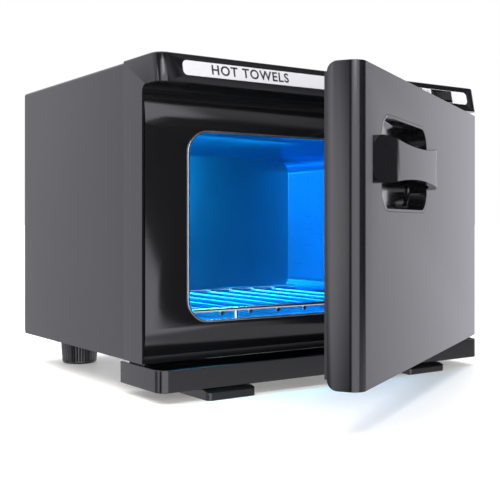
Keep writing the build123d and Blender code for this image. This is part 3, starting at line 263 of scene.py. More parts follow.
# --------------------------------------------------------------------------- finishes
@dataclass(frozen=True)
class MouldedPlastic:
    """Injection-moulded plastic with a fine spark-eroded grain, faint flow marks and scuffs."""

    name: str
    colour: Colour
    roughness: float = 0.38
    grain: float = 1400.0
    relief: float = 0.02 * MM
    variation: float = 0.10
    cloud_scale: float = 9.0
    cloud_gloss: float = 0.06
    scuff: float = 0.05
    scuff_scale: float = 60.0
    scuff_stretch: Triple = (1.0, 1.0, 14.0)
    scuff_level: float = 0.56
    scuff_contrast: float = 6.0

    def material(self) -> bpy.types.Material:
        """Build the material.

        Returns:
            The finish as a Blender material.
        """
        graph = Graph(self.name)
        cloud = graph.noise(self.cloud_scale, 4.0)
        deep = shade(self.colour, 1.0 - self.variation)
        light = shade(self.colour, 1.0 + self.variation)
        scratches = graph.noise(self.scuff_scale, 5.0, 0.7, graph.stretched(self.scuff_stretch))
        scuffs = ((scratches - self.scuff_level) * self.scuff_contrast).clamp(0.0, 1.0)
        gloss = self.roughness + (cloud - 0.5) * self.cloud_gloss + scuffs * self.scuff
        graph.set(
            Base_Color=graph.blend(cloud, deep, light),
            Roughness=gloss.clamp(0.04, 1.0),
            Normal=graph.bump(graph.noise(self.grain, 2.0), self.relief, 0.6),
        )
        return graph.material


@dataclass(frozen=True)
class PaintedSteel:
    """Powder paint on sheet steel: orange-peel skin, tiny dark and light flecks."""

    name: str
    colour: Colour
    roughness: float = 0.34
    peel: float = 420.0
    relief: float = 0.03 * MM
    variation: float = 0.14
    cloud_scale: float = 5.0
    cloud_gloss: float = 0.12
    fleck_scale: float = 2600.0
    fleck_share: float = 0.3

    def material(self) -> bpy.types.Material:
        """Build the material.

        Returns:
            The finish as a Blender material.
        """
        graph = Graph(self.name)
        cloud = graph.noise(self.cloud_scale, 4.0)
        flecks = graph.noise(self.fleck_scale, 1.0)
        tone = (cloud * (1.0 - self.fleck_share) + flecks * self.fleck_share).clamp(0.0, 1.0)
        deep = shade(self.colour, 1.0 - self.variation)
        light = shade(self.colour, 1.0 + self.variation)
        graph.set(
            Base_Color=graph.blend(tone, deep, light),
            Roughness=(self.roughness + (cloud - 0.5) * self.cloud_gloss).clamp(0.05, 1.0),
            Normal=graph.bump(graph.noise(self.peel, 2.0, 0.5), self.relief, 0.5),
        )
        return graph.material


@dataclass(frozen=True)
class GlossPlastic:
    """Polished plastic with faint wipe marks and dust in its gloss."""

    name: str
    colour: Colour
    roughness: float = 0.09
    wipe: float = 0.10
    wipe_scale: float = 26.0
    wipe_stretch: Triple = (1.0, 1.0, 3.5)
    wipe_level: float = 0.45
    dust_scale: float = 1900.0
    dust_level: float = 0.66
    dust_contrast: float = 9.0
    dust_colour: float = 0.35
    dust_gloss: float = 0.2
    dust_pale: float = 0.05
    ripple_scale: float = 70.0
    ripple: float = 0.04 * MM

    def material(self) -> bpy.types.Material:
        """Build the material.

        Returns:
            The finish as a Blender material.
        """
        graph = Graph(self.name)
        wipes = graph.noise(self.wipe_scale, 4.0, 0.6, graph.stretched(self.wipe_stretch))
        specks = graph.noise(self.dust_scale, 2.0)
        dust = ((specks - self.dust_level) * self.dust_contrast).clamp(0.0, 1.0)
        dusty = tuple(min(1.0, channel + self.dust_pale) for channel in self.colour)
        gloss = self.roughness + (wipes - self.wipe_level) * self.wipe + dust * self.dust_gloss
        graph.set(
            Base_Color=graph.blend(dust * self.dust_colour, self.colour, dusty),
            Roughness=gloss.clamp(0.03, 1.0),
            Normal=graph.bump(graph.noise(self.ripple_scale, 2.0), self.ripple, 0.25),
        )
        return graph.material


class Lay(Enum):
    """Direction of a metal's brushing, as the stretch of its grain along each axis."""

    ALONG_Y = (40.0, 1.0, 40.0)
    NONE = (1.0, 1.0, 1.0)


@dataclass(frozen=True)
class BareMetal:
    """Uncoated metal, brushed, drawn or plated."""

    name: str
    colour: Colour
    roughness: float = 0.3
    lay: Lay = Lay.NONE
    grain: float = 60.0
    relief: float = 0.01 * MM
    dullest: float = 0.8
    stroke_share: float = 0.6
    stroke_gloss: float = 0.18
    cloud_scale: float = 14.0
    cloud_gloss: float = 0.1

    def material(self) -> bpy.types.Material:
        """Build the material.

        Returns:
            The finish as a Blender material.
        """
        graph = Graph(self.name)
        strokes = graph.noise(self.grain, 4.0, 0.6, graph.stretched(self.lay.value))
        cloud = graph.noise(self.cloud_scale, 3.0)
        tone = (strokes * self.stroke_share + cloud * (1.0 - self.stroke_share)).clamp(0.0, 1.0)
        gloss = self.roughness + (strokes - 0.5) * self.stroke_gloss
        gloss = gloss + (cloud - 0.5) * self.cloud_gloss
        graph.set(
            Base_Color=graph.blend(tone, shade(self.colour, self.dullest), self.colour),
            Metallic=1.0,
            Roughness=gloss.clamp(0.05, 1.0),
            Normal=graph.bump(strokes, self.relief, 0.5),
        )
        return graph.material


@dataclass(frozen=True)
class Galvanised:
    """Zinc-coated sheet with a spangle of flat crystals."""

    name: str
    colour: Colour
    roughness: float = 0.32
    crystal_scale: float = 150.0
    crystal_gloss: float = 0.16
    dullest: float = 0.72
    grain: float = 900.0
    relief: float = 0.01 * MM

    def material(self) -> bpy.types.Material:
        """Build the material.

        Returns:
            The finish as a Blender material.
        """
        graph = Graph(self.name)
        crystals = graph.node(
            "ShaderNodeTexVoronoi", {"feature": "F1"},
            {"Vector": graph.coordinates, "Scale": self.crystal_scale}, "Color",
        )
        facet = graph.node("ShaderNodeSeparateColor", {}, {"Color": crystals})
        graph.set(
            Base_Color=graph.blend(facet, shade(self.colour, self.dullest), self.colour),
            Metallic=1.0,
            Roughness=(self.roughness + facet * self.crystal_gloss).clamp(0.1, 1.0),
            Normal=graph.bump(graph.noise(self.grain, 2.0), self.relief, 0.4),
        )
        return graph.material


@dataclass(frozen=True)
class Rubber:
    """Matt black rubber with a bloom of dust."""

    name: str
    colour: Colour
    roughness: float = 0.62
    grain: float = 1500.0
    relief: float = 0.03 * MM
    bloom_scale: float = 38.0
    bloom_level: float = 0.45
    bloom_contrast: float = 2.0
    bloom_pale: float = 1.8
    bloom_gloss: float = 0.15

    def material(self) -> bpy.types.Material:
        """Build the material.

        Returns:
            The finish as a Blender material.
        """
        graph = Graph(self.name)
        dust = graph.noise(self.bloom_scale, 5.0, 0.65)
        bloom = ((dust - self.bloom_level) * self.bloom_contrast).clamp(0.0, 1.0)
        graph.set(
            Base_Color=graph.blend(bloom, self.colour, shade(self.colour, self.bloom_pale)),
            Roughness=(self.roughness + bloom * self.bloom_gloss).clamp(0.2, 1.0),
            Normal=graph.bump(graph.noise(self.grain, 3.0), self.relief, 0.7),
        )
        return graph.material


@dataclass(frozen=True)
class MineralWool:
    """Pressed fibre board."""

    name: str
    colour: Colour
    roughness: float = 0.95
    fibre_scale: float = 220.0
    fibre_stretch: Triple = (1.0, 3.0, 6.0)
    shadow: float = 0.6
    relief: float = 0.4 * MM

    def material(self) -> bpy.types.Material:
        """Build the material.

        Returns:
            The finish as a Blender material.
        """
        graph = Graph(self.name)
        fibres = graph.noise(self.fibre_scale, 6.0, 0.75, graph.stretched(self.fibre_stretch))
        graph.set(
            Base_Color=graph.blend(fibres, shade(self.colour, self.shadow), self.colour),
            Roughness=self.roughness,
            Normal=graph.bump(fibres, self.relief, 0.9),
        )
        return graph.material


@dataclass(frozen=True)
class GlowingTube:
    """Lamp tube whose light is strongest in the middle of its length."""

    name: str
    glow: Colour
    strength: float
    middle: float
    half_length: float
    roughness: float = 0.12
    glass_low: Colour = (0.6, 0.8, 0.9)
    glass_high: Colour = (0.75, 0.88, 0.95)
    faintest: float = 0.25
    peak: float = 1.05

    def material(self) -> bpy.types.Material:
        """Build the material.

        Returns:
            The finish as a Blender material.
        """
        graph = Graph(self.name)
        along = graph.node("ShaderNodeSeparateXYZ", {}, {"Vector": graph.coordinates}, "Y")
        offset = (along - self.middle) / self.half_length
        falloff = (self.peak - offset * offset).clamp(0.15, 1.0)
        graph.set(
            Base_Color=graph.blend(graph.noise(30.0, 2.0), self.glass_low, self.glass_high),
            Roughness=self.roughness,
            Emission_Color=graph.blend(falloff, shade(self.glow, self.faintest), self.glow),
            Emission_Strength=self.strength,
        )
        return graph.material


def finishes_by_slot() -> dict[str, bpy.types.Material]:
    """Build one material for each of the record's slots, and one for printed words.

    Returns:
        Materials by slot name.
    """
    tube_low, tube_high = (Vector(corner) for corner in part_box("uv_tube"))
    made = {
        "moulding": MouldedPlastic("satin_charcoal_moulding", (0.0075, 0.0073, 0.008), 0.13),
        "door_plastic": MouldedPlastic("satin_grey_door", (0.0065, 0.0064, 0.007), 0.16),
        "casing_paint": PaintedSteel("charcoal_powder_paint", (0.009, 0.0088, 0.0098)),
        "strip": GlossPlastic("white_label_strip", (0.70, 0.70, 0.71), 0.25, 0.06),
        "bright_trim": BareMetal("polished_aluminium_ring", (0.86, 0.87, 0.88), 0.22),
        "switch_black": GlossPlastic("gloss_black_switch", (0.010, 0.010, 0.011), 0.14),
        "galvanised": Galvanised("spangled_zinc_sheet", (0.66, 0.68, 0.70)),
        "black_plastic": MouldedPlastic("black_utility_plastic", (0.014, 0.014, 0.015), 0.45, 900.0),
        # The chamber's drawn aluminium is coloured deep blue: painted blue light of the UV lamp, over the metal's
        # own pale grey.
        "aluminium": BareMetal("chamber_aluminium_painted_blue_lamplight", (0.09, 0.40, 0.64), 0.32, Lay.ALONG_Y),
        "insulation": MineralWool("mineral_wool_board", (0.78, 0.75, 0.62)),
        "white_ceramic": GlossPlastic("glazed_ceramic", (0.82, 0.81, 0.77), 0.16, 0.05),
        "lamp_glass": GlowingTube(
            "glowing_lamp_tube", (0.10, 0.62, 1.0), 9.0,
            (tube_low.y + tube_high.y) / 2, (tube_high.y - tube_low.y) / 2,
        ),
        "white_plastic": MouldedPlastic("white_utility_plastic", (0.70, 0.70, 0.68), 0.42, 900.0),
        "bright_wire": BareMetal("chromed_wire", (0.86, 0.88, 0.90), 0.16, Lay.NONE, 300.0),
        "steel": BareMetal("zinc_plated_steel", (0.62, 0.64, 0.66), 0.34, Lay.NONE, 240.0),
        "ferrite": Rubber("sintered_ferrite", (0.035, 0.034, 0.036), 0.5),
        "foot_rubber": Rubber("black_foot_rubber", (0.005, 0.005, 0.0055), 0.30),
        "gasket_rubber": Rubber("soft_seal_rubber", (0.020, 0.020, 0.022), 0.55),
        "print": GlossPlastic("black_print", (0.012, 0.012, 0.013), 0.4, 0.05),
        "gloss_black": GlossPlastic("piano_black_plastic", (0.006, 0.006, 0.007), 0.07),
    }
    return {slot: finish.material() for slot, finish in made.items()}


# --------------------------------------------------------------------------- mesh tools
@dataclass
class Workshop:
    """Turns bmeshes into named pieces that ride on a body and wear a slot's finish."""

    finishes: dict[str, bpy.types.Material]
    made: list[str] = field(default_factory=list)

    def piece(
        self, name: str, mesh: bmesh.types.BMesh, body: str, slot: str,
        replaces: tuple[str, ...] = (), material: bpy.types.Material | None = None,
        smooth: float = 35.0,
    ) -> bpy.types.Object:
        """Make an object from a bmesh.

        Args:
            name: the piece's name.
            mesh: its shape, in place.
            body: the body that it rides on.
            slot: the record's material slot.
            replaces: CAD nodes that it stands for.
            material: a finish other than the slot's own.
            smooth: angle in degrees under which edges shade smooth.

        Returns:
            The object.
        """
        data = bpy.data.meshes.new(name)
        mesh.to_mesh(data)
        mesh.free()
        thing = bpy.data.objects.new(name, data)
        bpy.context.scene.collection.objects.link(thing)
        data.materials.append(material or self.finishes[slot])
        data.shade_smooth()
        data.set_sharp_from_angle(angle=math.radians(smooth))
        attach(thing, body)
        if replaces:
            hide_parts(*replaces)
        self.made.append(name)
        LOG.info("%s: %d faces on %s", name, len(data.polygons), body)
        return thing

    def softened(self, node: str, body: str, slot: str, edge: float, segments: int = 2) -> None:
        """Stand a merged copy of a CAD node in its place, with its edges rounded.

        Args:
            node: the CAD node.
            body: the body that it rides on.
            slot: its material slot.
            edge: radius given to its sharp edges.
            segments: how many faces round each edge.
        """
        mesh = merged_copy(node)
        thing = self.piece(f"{node}_finished", mesh, body, slot, (node,), smooth=50.0)
        bevel = thing.modifiers.new("rounded edges", "BEVEL")
        bevel.width = edge
        bevel.segments = segments
        bevel.limit_method = "ANGLE"
        bevel.angle_limit = math.radians(35.0)
        bevel.harden_normals = True
        bevel.use_clamp_overlap = True


def merged_copy(node: str) -> bmesh.types.BMesh:
    """Copy a CAD node's mesh, join its loose triangles and melt its flat faces together.

    Args:
        node: the CAD node.

    Returns:
        The copy as a bmesh, in place.
    """
    source = frame["nodes"][node]
    mesh = bmesh.new()
    mesh.from_mesh(source.data)
    bmesh.ops.remove_doubles(mesh, verts=mesh.verts, dist=WELD)
    bmesh.ops.dissolve_limit(
        mesh, angle_limit=math.radians(0.4), use_dissolve_boundaries=False,
        verts=mesh.verts, edges=mesh.edges, delimit={"NORMAL"},
    )
    for face in mesh.faces:
        face.smooth = True
    return mesh


def place_fresh(mesh: bmesh.types.BMesh, place: Matrix) -> None:
    """Turn outwards what was added since the last call, carry it to its place and mark it as done.

    Args:
        mesh: the bmesh that is being added to.
        place: where the new part of it goes.
    """
    fresh = [vertex for vertex in mesh.verts if not vertex.tag]
    faces = list({face for vertex in fresh for face in vertex.link_faces})
    bmesh.ops.recalc_face_normals(mesh, faces=faces)
    bmesh.ops.transform(mesh, matrix=place, verts=fresh)
    for vertex in fresh:
        vertex.tag = True


def lathe(
    mesh: bmesh.types.BMesh, profile: list[tuple[float, float]], place: Matrix, steps: int = 40,
) -> None:
    """Spin a profile of (radius, height) points about the z axis of a placement.

    Args:
        mesh: the bmesh to add to.
        profile: outline from one end of the axis to the other.
        place: where the axis stands.
        steps: faces round the axis.
    """
    points = [mesh.verts.new((radius, 0.0, height)) for radius, height in profile]
    edges = [mesh.edges.new(pair) for pair in zip(points, points[1:])]
    bmesh.ops.spin(
        mesh, geom=points + edges, cent=(0, 0, 0), axis=(0, 0, 1), dvec=(0, 0, 0),
        angle=FULL_TURN, steps=steps, use_merge=True, use_duplicate=False,
    )
    fresh = [vertex for vertex in mesh.verts if not vertex.tag]
    bmesh.ops.remove_doubles(mesh, verts=fresh, dist=WELD)
    place_fresh(mesh, place)


def wire(
    mesh: bmesh.types.BMesh, start: Vector, end: Vector, radius: float, sides: int = 16,
) -> None:
    """Add a straight round wire with softly closed ends.

    Args:
        mesh: the bmesh to add to.
        start: centre of one end.
        end: centre of the other end.
        radius: the wire's radius.
        sides: faces round it.
    """
    span = end - start
    turn = span.to_track_quat("Z", "Y").to_matrix().to_4x4()
    soft = radius * 0.35
    profile = [
        (0.0, 0.0), (radius - soft, 0.0), (radius, soft),
        (radius, span.length - soft), (radius - soft, span.length), (0.0, span.length),
    ]
    lathe(mesh, profile, Matrix.Translation(start) @ turn, sides)


@dataclass(frozen=True)
class CrossHead:
    """Pan head with a sunk cross; all but the first two sizes are shares of its radius or height."""

    radius: float
    height: float
    slot_half: float = 0.17
    slot_reach: float = 0.52
    slot_depth: float = 0.55
    dome: float = 0.35
    level: float = 0.01
    cells: int = 5

    def add(self, mesh: bmesh.types.BMesh, seat: Vector, outward: Vector) -> None:
        """Add one head.

        Args:
            mesh: the bmesh to add to.
            seat: centre of the surface that the head sits on.
            outward: direction from the seat out of the head.
        """
        points = bmesh.ops.create_grid(
            mesh, x_segments=self.cells, y_segments=self.cells, size=1.0
        )["verts"]
        levels = (-1.0, -self.slot_reach, -self.slot_half, self.slot_half, self.slot_reach, 1.0)
        for point in points:
            column, row = (round((value + 1.0) * self.cells / 2) for value in point.co.xy)
            point.co.x, point.co.y = levels[column], levels[row]
            if max(column, row) == self.cells or min(column, row) == 0:
                point.co.xy = point.co.xy.normalized()
        faces = list({face for point in points for face in point.link_faces})
        cross = [face for face in faces if self.in_cross(face.calc_center_median())]
        rim = [edge for edge in {edge for face in faces for edge in face.edges} if edge.is_boundary]
        sunk = bmesh.ops.extrude_face_region(mesh, geom=cross)["geom"]
        bmesh.ops.delete(mesh, geom=cross, context="FACES_ONLY")
        floor = [item for item in sunk if isinstance(item, bmesh.types.BMVert)]
        depth = self.slot_depth * self.height / self.radius
        bmesh.ops.translate(mesh, vec=(0, 0, -depth), verts=floor)
        skirt = bmesh.ops.extrude_edge_only(mesh, edges=rim)["geom"]
        lower = [item for item in skirt if isinstance(item, bmesh.types.BMVert)]
        for point in lower:
            point.co.z = -self.height / self.radius
        for point in mesh.verts:
            if not point.tag and point.co.z > -self.level:
                point.co.z -= self.dome * self.height / self.radius * point.co.xy.length_squared
        turn = outward.to_track_quat("Z", "Y").to_matrix().to_4x4()
        seated = Matrix.Translation(seat + outward * self.height)
        place_fresh(mesh, seated @ turn @ Matrix.Scale(self.radius, 4))

    def in_cross(self, centre: Vector) -> bool:
        """Whether a face with this centre lies in one of the cross's arms."""
        across, along = sorted((abs(centre.x), abs(centre.y)))
        return across < self.slot_half and along < self.slot_reach + self.slot_half


def box_centre(node: str) -> Vector:
    """Centre of a node's box at rest."""
    low, high = (Vector(corner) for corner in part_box(node))
    return (low + high) / 2


def solid_boxes(node: str, turn: Matrix) -> list[tuple[Vector, Vector]]:
    """Box of each separate solid of a node, in axes that a turn carries to the model's axes.

    Args:
        node: the CAD node.
        turn: the rotation from those axes to the model's.

    Returns:
        Low and high corners, in a fixed order.
    """
    mesh = merged_copy(node)
    bmesh.ops.rotate(mesh, cent=(0, 0, 0), matrix=turn.transposed(), verts=mesh.verts)
    left = set(mesh.verts)
    boxes = []
    while left:
        island = {left.pop()}
        edge = set(island)
        while edge:
            edge = {link.other_vert(vertex) for vertex in edge for link in vertex.link_edges} - island
            island |= edge
        left -= island
        low = Vector([min(vertex.co[axis] for vertex in island) for axis in range(3)])
        high = Vector([max(vertex.co[axis] for vertex in island) for axis in range(3)])
        boxes.append((low, high))
    mesh.free()
    return sorted(boxes, key=lambda box: tuple(round(value, 4) for value in box[0]))


def door_turn() -> Matrix:
    """Rotation that carries the shut door's axes to the axes of the door at rest."""
    return Matrix.Rotation(math.radians(-joint_named("door_hinge")["range_deg"][0]), 3, "Z")


def joint_named(name: str) -> dict:
    """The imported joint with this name."""
    return next(joint for joint in frame["joints"] if joint["name"] == name)


# --------------------------------------------------------------------------- sub-assemblies
@dataclass
class Cabinet:
    """Fixed shells: moulding, casing, rear panel, chamber, ring and hinge brackets."""

    shop: Workshop
    moulded_edge: float = 0.5 * MM
    casing_edge: float = 0.25 * MM
    sheet_edge: float = 0.2 * MM
    turned_edge: float = 0.3 * MM
    holder_edge: float = 0.6 * MM

    def build(self) -> None:
        """Round the edges of the shells that are seen."""
        for node, slot, edge in (
            ("front_frame", "moulding", self.moulded_edge),
            ("outer_shell", "casing_paint", self.casing_edge),
            ("rear_panel", "casing_paint", self.sheet_edge),
            # The aluminium slot's finish has painted blue lamplight in its colour.
            ("inner_chamber", "aluminium", self.sheet_edge),
            ("opening_trim", "bright_trim", self.turned_edge),
            ("fascia_strip", "strip", self.sheet_edge),
            ("cord_gland", "black_plastic", self.turned_edge),
            ("heat_switch", "switch_black", self.sheet_edge),
            ("uv_switch", "switch_black", self.sheet_edge),
            ("lower_hinge_bracket", "steel", self.sheet_edge),
            ("upper_hinge_bracket", "steel", self.sheet_edge),
            ("tray_guides", "moulding", self.turned_edge),
            ("lampholder_front", "white_plastic", self.holder_edge),
            ("lampholder_rear", "white_plastic", self.holder_edge),
        ):
            self.shop.softened(node, "cabinet", slot, edge)


@dataclass
class Fasteners:
    """Pan-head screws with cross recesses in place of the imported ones."""

    shop: Workshop
    head_radius: float = 3.2 * MM
    head_height: float = 1.7 * MM
    shank_radius: float = 1.2 * MM
    shank_sides: int = 12
    overlap: float = 0.2 * MM

    def screw(self, mesh: bmesh.types.BMesh, low: Vector, high: Vector, outward: Vector) -> None:
        """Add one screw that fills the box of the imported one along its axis.

        Args:
            mesh: the bmesh to add to.
            low: the box's low corner.
            high: its high corner.
            outward: unit vector from the tip to the head.
        """
        middle = (low + high) / 2
        half = abs((high - low).dot(outward)) / 2
        top, tip = middle + outward * half, middle - outward * half
        head = min(self.head_height, half)
        CrossHead(self.head_radius, head).add(mesh, top - outward * head, outward)
        wire(mesh, tip, top - outward * (head - self.overlap), self.shank_radius, self.shank_sides)

    def build(self) -> None:
        """Replace each set of screws that can be seen."""
        turn = door_turn()
        for node, body, outward in (
            ("rear_panel_screws", "cabinet", Vector((0, 1, 0))),
            ("casing_screws", "cabinet", Vector((0, 0, -1))),
            ("foot_screws", "cabinet", Vector((0, 0, -1))),
            ("door_screws", "door", turn @ Vector((0, 1, 0))),
        ):
            mesh = bmesh.new()
            for low, high in solid_boxes(node, turn if body == "door" else Matrix.Identity(3)):
                if body == "door":
                    middle, half = turn @ ((low + high) / 2), (high.y - low.y) / 2
                    low, high = middle - outward * half, middle + outward * half
                self.screw(mesh, low, high, outward)
            self.shop.piece(f"{node}_crossed", mesh, body, "steel", (node,))


@dataclass
class Feet:
    """Ribbed round feet at the back and flat feet at the front."""

    shop: Workshop
    ribs: int = 40
    steps_per_rib: int = 4
    rib_depth: float = 0.7 * MM
    rib_cut: float = 0.75
    sole_share: float = 0.90
    sole_round: float = 1.2 * MM
    sole_height: float = 2.2 * MM
    rib_bottom: float = 2.6 * MM
    rib_top_below: float = 2.0 * MM
    collar_below: float = 1.4 * MM
    shoulder_below: float = 0.4 * MM
    flat_edge: float = 0.9 * MM

    def ribbed(self, node: str) -> None:
        """Build a tapered round foot with upright ribs and a plain sole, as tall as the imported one.

        Args:
            node: the CAD node that it stands for.
        """
        low, high = (Vector(corner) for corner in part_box(node))
        middle = (low + high) / 2
        tall = high.z - low.z
        top_radius = (high.x - low.x) / 2
        sole_radius = top_radius * self.sole_share
        mesh = bmesh.new()
        rim = bmesh.ops.create_circle(
            mesh, cap_ends=True, segments=self.steps_per_rib * self.ribs,
            radius=sole_radius - self.rib_depth,
        )["verts"]
        bmesh.ops.translate(mesh, vec=(0, 0, low.z), verts=rim)
        for height, radius, ribbed in (
            (self.sole_round, sole_radius, False),
            (self.sole_height, sole_radius, False),
            (self.rib_bottom, sole_radius, True),
            (tall - self.rib_top_below, top_radius, True),
            (tall - self.collar_below, top_radius, False),
            (tall - self.shoulder_below, top_radius, False),
            (tall, top_radius - self.rib_depth, False),
        ):
            edges = [
                edge for edge in {edge for vertex in rim for edge in vertex.link_edges}
                if all(vertex in rim for vertex in edge.verts)
            ]
            made = bmesh.ops.extrude_edge_only(mesh, edges=edges)["geom"]
            rim = [item for item in made if isinstance(item, bmesh.types.BMVert)]
            for vertex in rim:
                angle = math.atan2(vertex.co.y, vertex.co.x)
                wave = 0.5 - 0.5 * math.cos(angle * self.ribs)
                reach = radius - (self.rib_depth if ribbed and wave > self.rib_cut else 0.0)
                vertex.co = Vector((math.cos(angle) * reach, math.sin(angle) * reach, low.z + height))
        bmesh.ops.holes_fill(mesh, edges=[edge for edge in mesh.edges if edge.is_boundary], sides=0)
        bmesh.ops.recalc_face_normals(mesh, faces=mesh.faces)
        bmesh.ops.translate(mesh, vec=(middle.x, middle.y, 0), verts=mesh.verts)
        self.shop.piece(f"{node}_ribbed", mesh, "cabinet", "foot_rubber", (node,), smooth=25.0)

    def build(self) -> None:
        """Build all four feet."""
        for node in ("rear_foot_left", "rear_foot_right"):
            self.ribbed(node)
        for node in ("front_foot_left", "front_foot_right"):
            self.shop.softened(node, "cabinet", "foot_rubber", self.flat_edge, 3)


@dataclass
class LabelStrip:
    """Plain words printed on the white strip: the cabinet's use, and a word beside each switch."""

    shop: Workshop
    words: str = "HOT TOWELS"
    words_left: float = 21.7 * MM
    letter_size: float = 9.4 * MM
    small_size: float = 2.9 * MM
    small_left: float = 14.2 * MM
    spacing: float = 1.12
    stroke: float = 0.022
    ink: float = 0.05 * MM

    def plane(self, node: str, across: float = 0.0) -> Matrix:
        """Find the placement on the leaning front face of a strip node, x along it and z out of it.

        Args:
            node: the CAD node.
            across: how far along x from the node's middle.

        Returns:
            The placement.
        """
        up = Vector(joint_named("heat_rocker_tip")["axis"])
        up = -up if up.z < 0 else up
        out = Vector((1, 0, 0)).cross(up)
        low, high = (Vector(corner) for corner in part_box(node))
        middle = (low + high) / 2
        lean = abs(up.y / up.z)
        thick = ((high.y - low.y) - (high.z - low.z) * lean) / (abs(out.y) + abs(out.z) * lean)
        place = middle + out * (abs(thick) / 2)
        turn = Matrix((Vector((1, 0, 0)), up, out)).transposed().to_4x4()
        return Matrix.Translation(place + Vector((across, 0, 0))) @ turn

    def text(self, name: str, words: str, size: float, place: Matrix, align: str) -> None:
        """Print words on the strip as a thin raised piece.

        Args:
            name: the piece's name.
            words: what it says.
            size: the font's size.
            place: where the words' anchor lies.
            align: LEFT or CENTER.
        """
        curve = bpy.data.curves.new(name, "FONT")
        curve.body = words
        curve.size = size
        curve.space_character = self.spacing
        curve.align_x = align
        curve.align_y = "CENTER"
        curve.extrude = self.ink
        curve.offset = size * self.stroke
        curve.resolution_u = 4
        holder = bpy.data.objects.new(name, curve)
        flat = bpy.data.meshes.new_from_object(holder)
        mesh = bmesh.new()
        mesh.from_mesh(flat)
        bpy.data.objects.remove(holder)
        bpy.data.curves.remove(curve)
        bpy.data.meshes.remove(flat)
        bmesh.ops.remove_doubles(mesh, verts=mesh.verts, dist=WELD)
        bmesh.ops.transform(mesh, matrix=place, verts=mesh.verts)
        self.shop.piece(name, mesh, "cabinet", "switch_black", material=self.shop.finishes["print"])

    def build(self) -> None:
        """Print the strip."""
        low, high = (Vector(corner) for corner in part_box("fascia_strip"))
        start = self.plane("fascia_strip", self.words_left - (high.x - low.x) / 2)
        self.text("strip_words", self.words, self.letter_size, start, "LEFT")
        middle = (low.x + high.x) / 2
        for switch, label in (("heat", "HEAT"), ("uv", "UV")):
            side = box_centre(f"{switch}_switch").x - middle
            place = self.plane("fascia_strip", side - self.small_left)
            turned = place @ Matrix.Rotation(math.radians(90), 4, "Z")
            self.text(f"{switch}_word", label, self.small_size, turned, "CENTER")


@dataclass
class LampFittings:
    """Metal caps with a rolled groove at both ends of the lamp tube."""

    shop: Workshop
    inset: float = 5.0 * MM
    cap_length: float = 9.0 * MM
    proud: float = 0.15 * MM
    round_end: float = 1.2 * MM
    groove: float = 0.3 * MM
    groove_start: float = 1.4 * MM
    groove_middle: float = 1.0 * MM
    groove_end: float = 0.6 * MM

    def build(self) -> None:
        """Build the two caps as one piece."""
        low, high = (Vector(corner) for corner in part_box("uv_tube"))
        middle = (low + high) / 2
        radius = (high.x - low.x) / 2 + self.proud
        length = self.cap_length
        profile = [
            (0.0, 0.0), (radius - self.round_end, 0.0),
            (radius - self.groove, self.groove), (radius, self.round_end),
            (radius, length - self.groove_start), (radius - self.groove, length - self.groove_middle),
            (radius, length - self.groove_end), (radius, length),
            (radius - self.proud, length), (0.0, length),
        ]
        mesh = bmesh.new()
        for end, turn in ((low.y + self.inset, -90.0), (high.y - self.inset, 90.0)):
            spin = Matrix.Rotation(math.radians(turn), 4, "X")
            lathe(mesh, profile, Matrix.Translation((middle.x, end, middle.z)) @ spin, 32)
        steel = self.shop.finishes["steel"]
        self.shop.piece("lamp_caps", mesh, "cabinet", "aluminium", material=steel)


@dataclass
class Door:
    """Side-hung door with its gasket, inner panel, cup and grip."""

    shop: Workshop
    ramp_shallow: float = 1.2 * MM
    ramp_deep: float = 13.2 * MM
    ramp_foot: float = 6.0 * MM
    cup_wall: float = 1.6 * MM
    shell_edge: float = 0.5 * MM
    grip_edge: float = 1.5 * MM
    gasket_edge: float = 0.8 * MM

    def cup(self) -> None:
        """Stand in for the cup, with a floor that slopes down from the free edge to the hinge side."""
        turn = door_turn()
        mesh = merged_copy("handle_cup")
        bmesh.ops.rotate(mesh, cent=(0, 0, 0), matrix=turn.transposed(), verts=mesh.verts)
        front = min(vertex.co.y for vertex in mesh.verts)
        left = min(vertex.co.x for vertex in mesh.verts)
        right = max(vertex.co.x for vertex in mesh.verts)
        back = max(vertex.co.y for vertex in mesh.verts)
        for vertex in mesh.verts:
            along = (vertex.co.x - left) / (right - left - self.ramp_foot)
            ramp = self.ramp_shallow + (self.ramp_deep - self.ramp_shallow) * min(1.0, along)
            outer = vertex.co.y > back - self.cup_wall / 2
            vertex.co.y = min(vertex.co.y, front + ramp + (self.cup_wall if outer else 0.0))
        bmesh.ops.rotate(mesh, cent=(0, 0, 0), matrix=turn, verts=mesh.verts)
        bmesh.ops.remove_doubles(mesh, verts=mesh.verts, dist=WELD)
        bmesh.ops.recalc_face_normals(mesh, faces=mesh.faces)
        self.shop.piece(
            "handle_cup_sloped", mesh, "door", "gloss_black", ("handle_cup",), smooth=50.0
        )

    def build(self) -> None:
        """Round the door's edges and the handle's."""
        for node, slot, edge, segments in (
            ("door_shell", "door_plastic", self.shell_edge, 3),
            ("door_inner_panel", "black_plastic", self.shell_edge, 3),
            ("handle_grip", "door_plastic", self.grip_edge, 4),
            ("door_gasket", "gasket_rubber", self.gasket_edge, 3),
        ):
            self.shop.softened(node, "door", slot, edge, segments)
        self.cup()


@dataclass
class Movers:
    """Drip tray and rockers."""

    shop: Workshop
    tray_edge: float = 0.5 * MM
    rocker_edge: float = 0.4 * MM

    def build(self) -> None:
        """Round their edges."""
        self.shop.softened("drip_tray", "drip_tray", "moulding", self.tray_edge, 3)
        for rocker in ("heat_rocker", "uv_rocker"):
            self.shop.softened(rocker, rocker, "switch_black", self.rocker_edge, 3)


# --------------------------------------------------------------------------- studio
@dataclass(frozen=True)
class Patch:
    """Part of the room: a direction, and the cosines to it where the part begins and is full."""

    way: Triple
    begins: float
    full: float

    def over(self, axes: tuple[Value, ...]) -> Value:
        """One inside the patch, zero outside it, and straight between its two cosines."""
        terms = [axis * weight for axis, weight in zip(axes, self.way) if weight]
        return sum(terms[1:], terms[0]).ramp(self.begins, self.full)


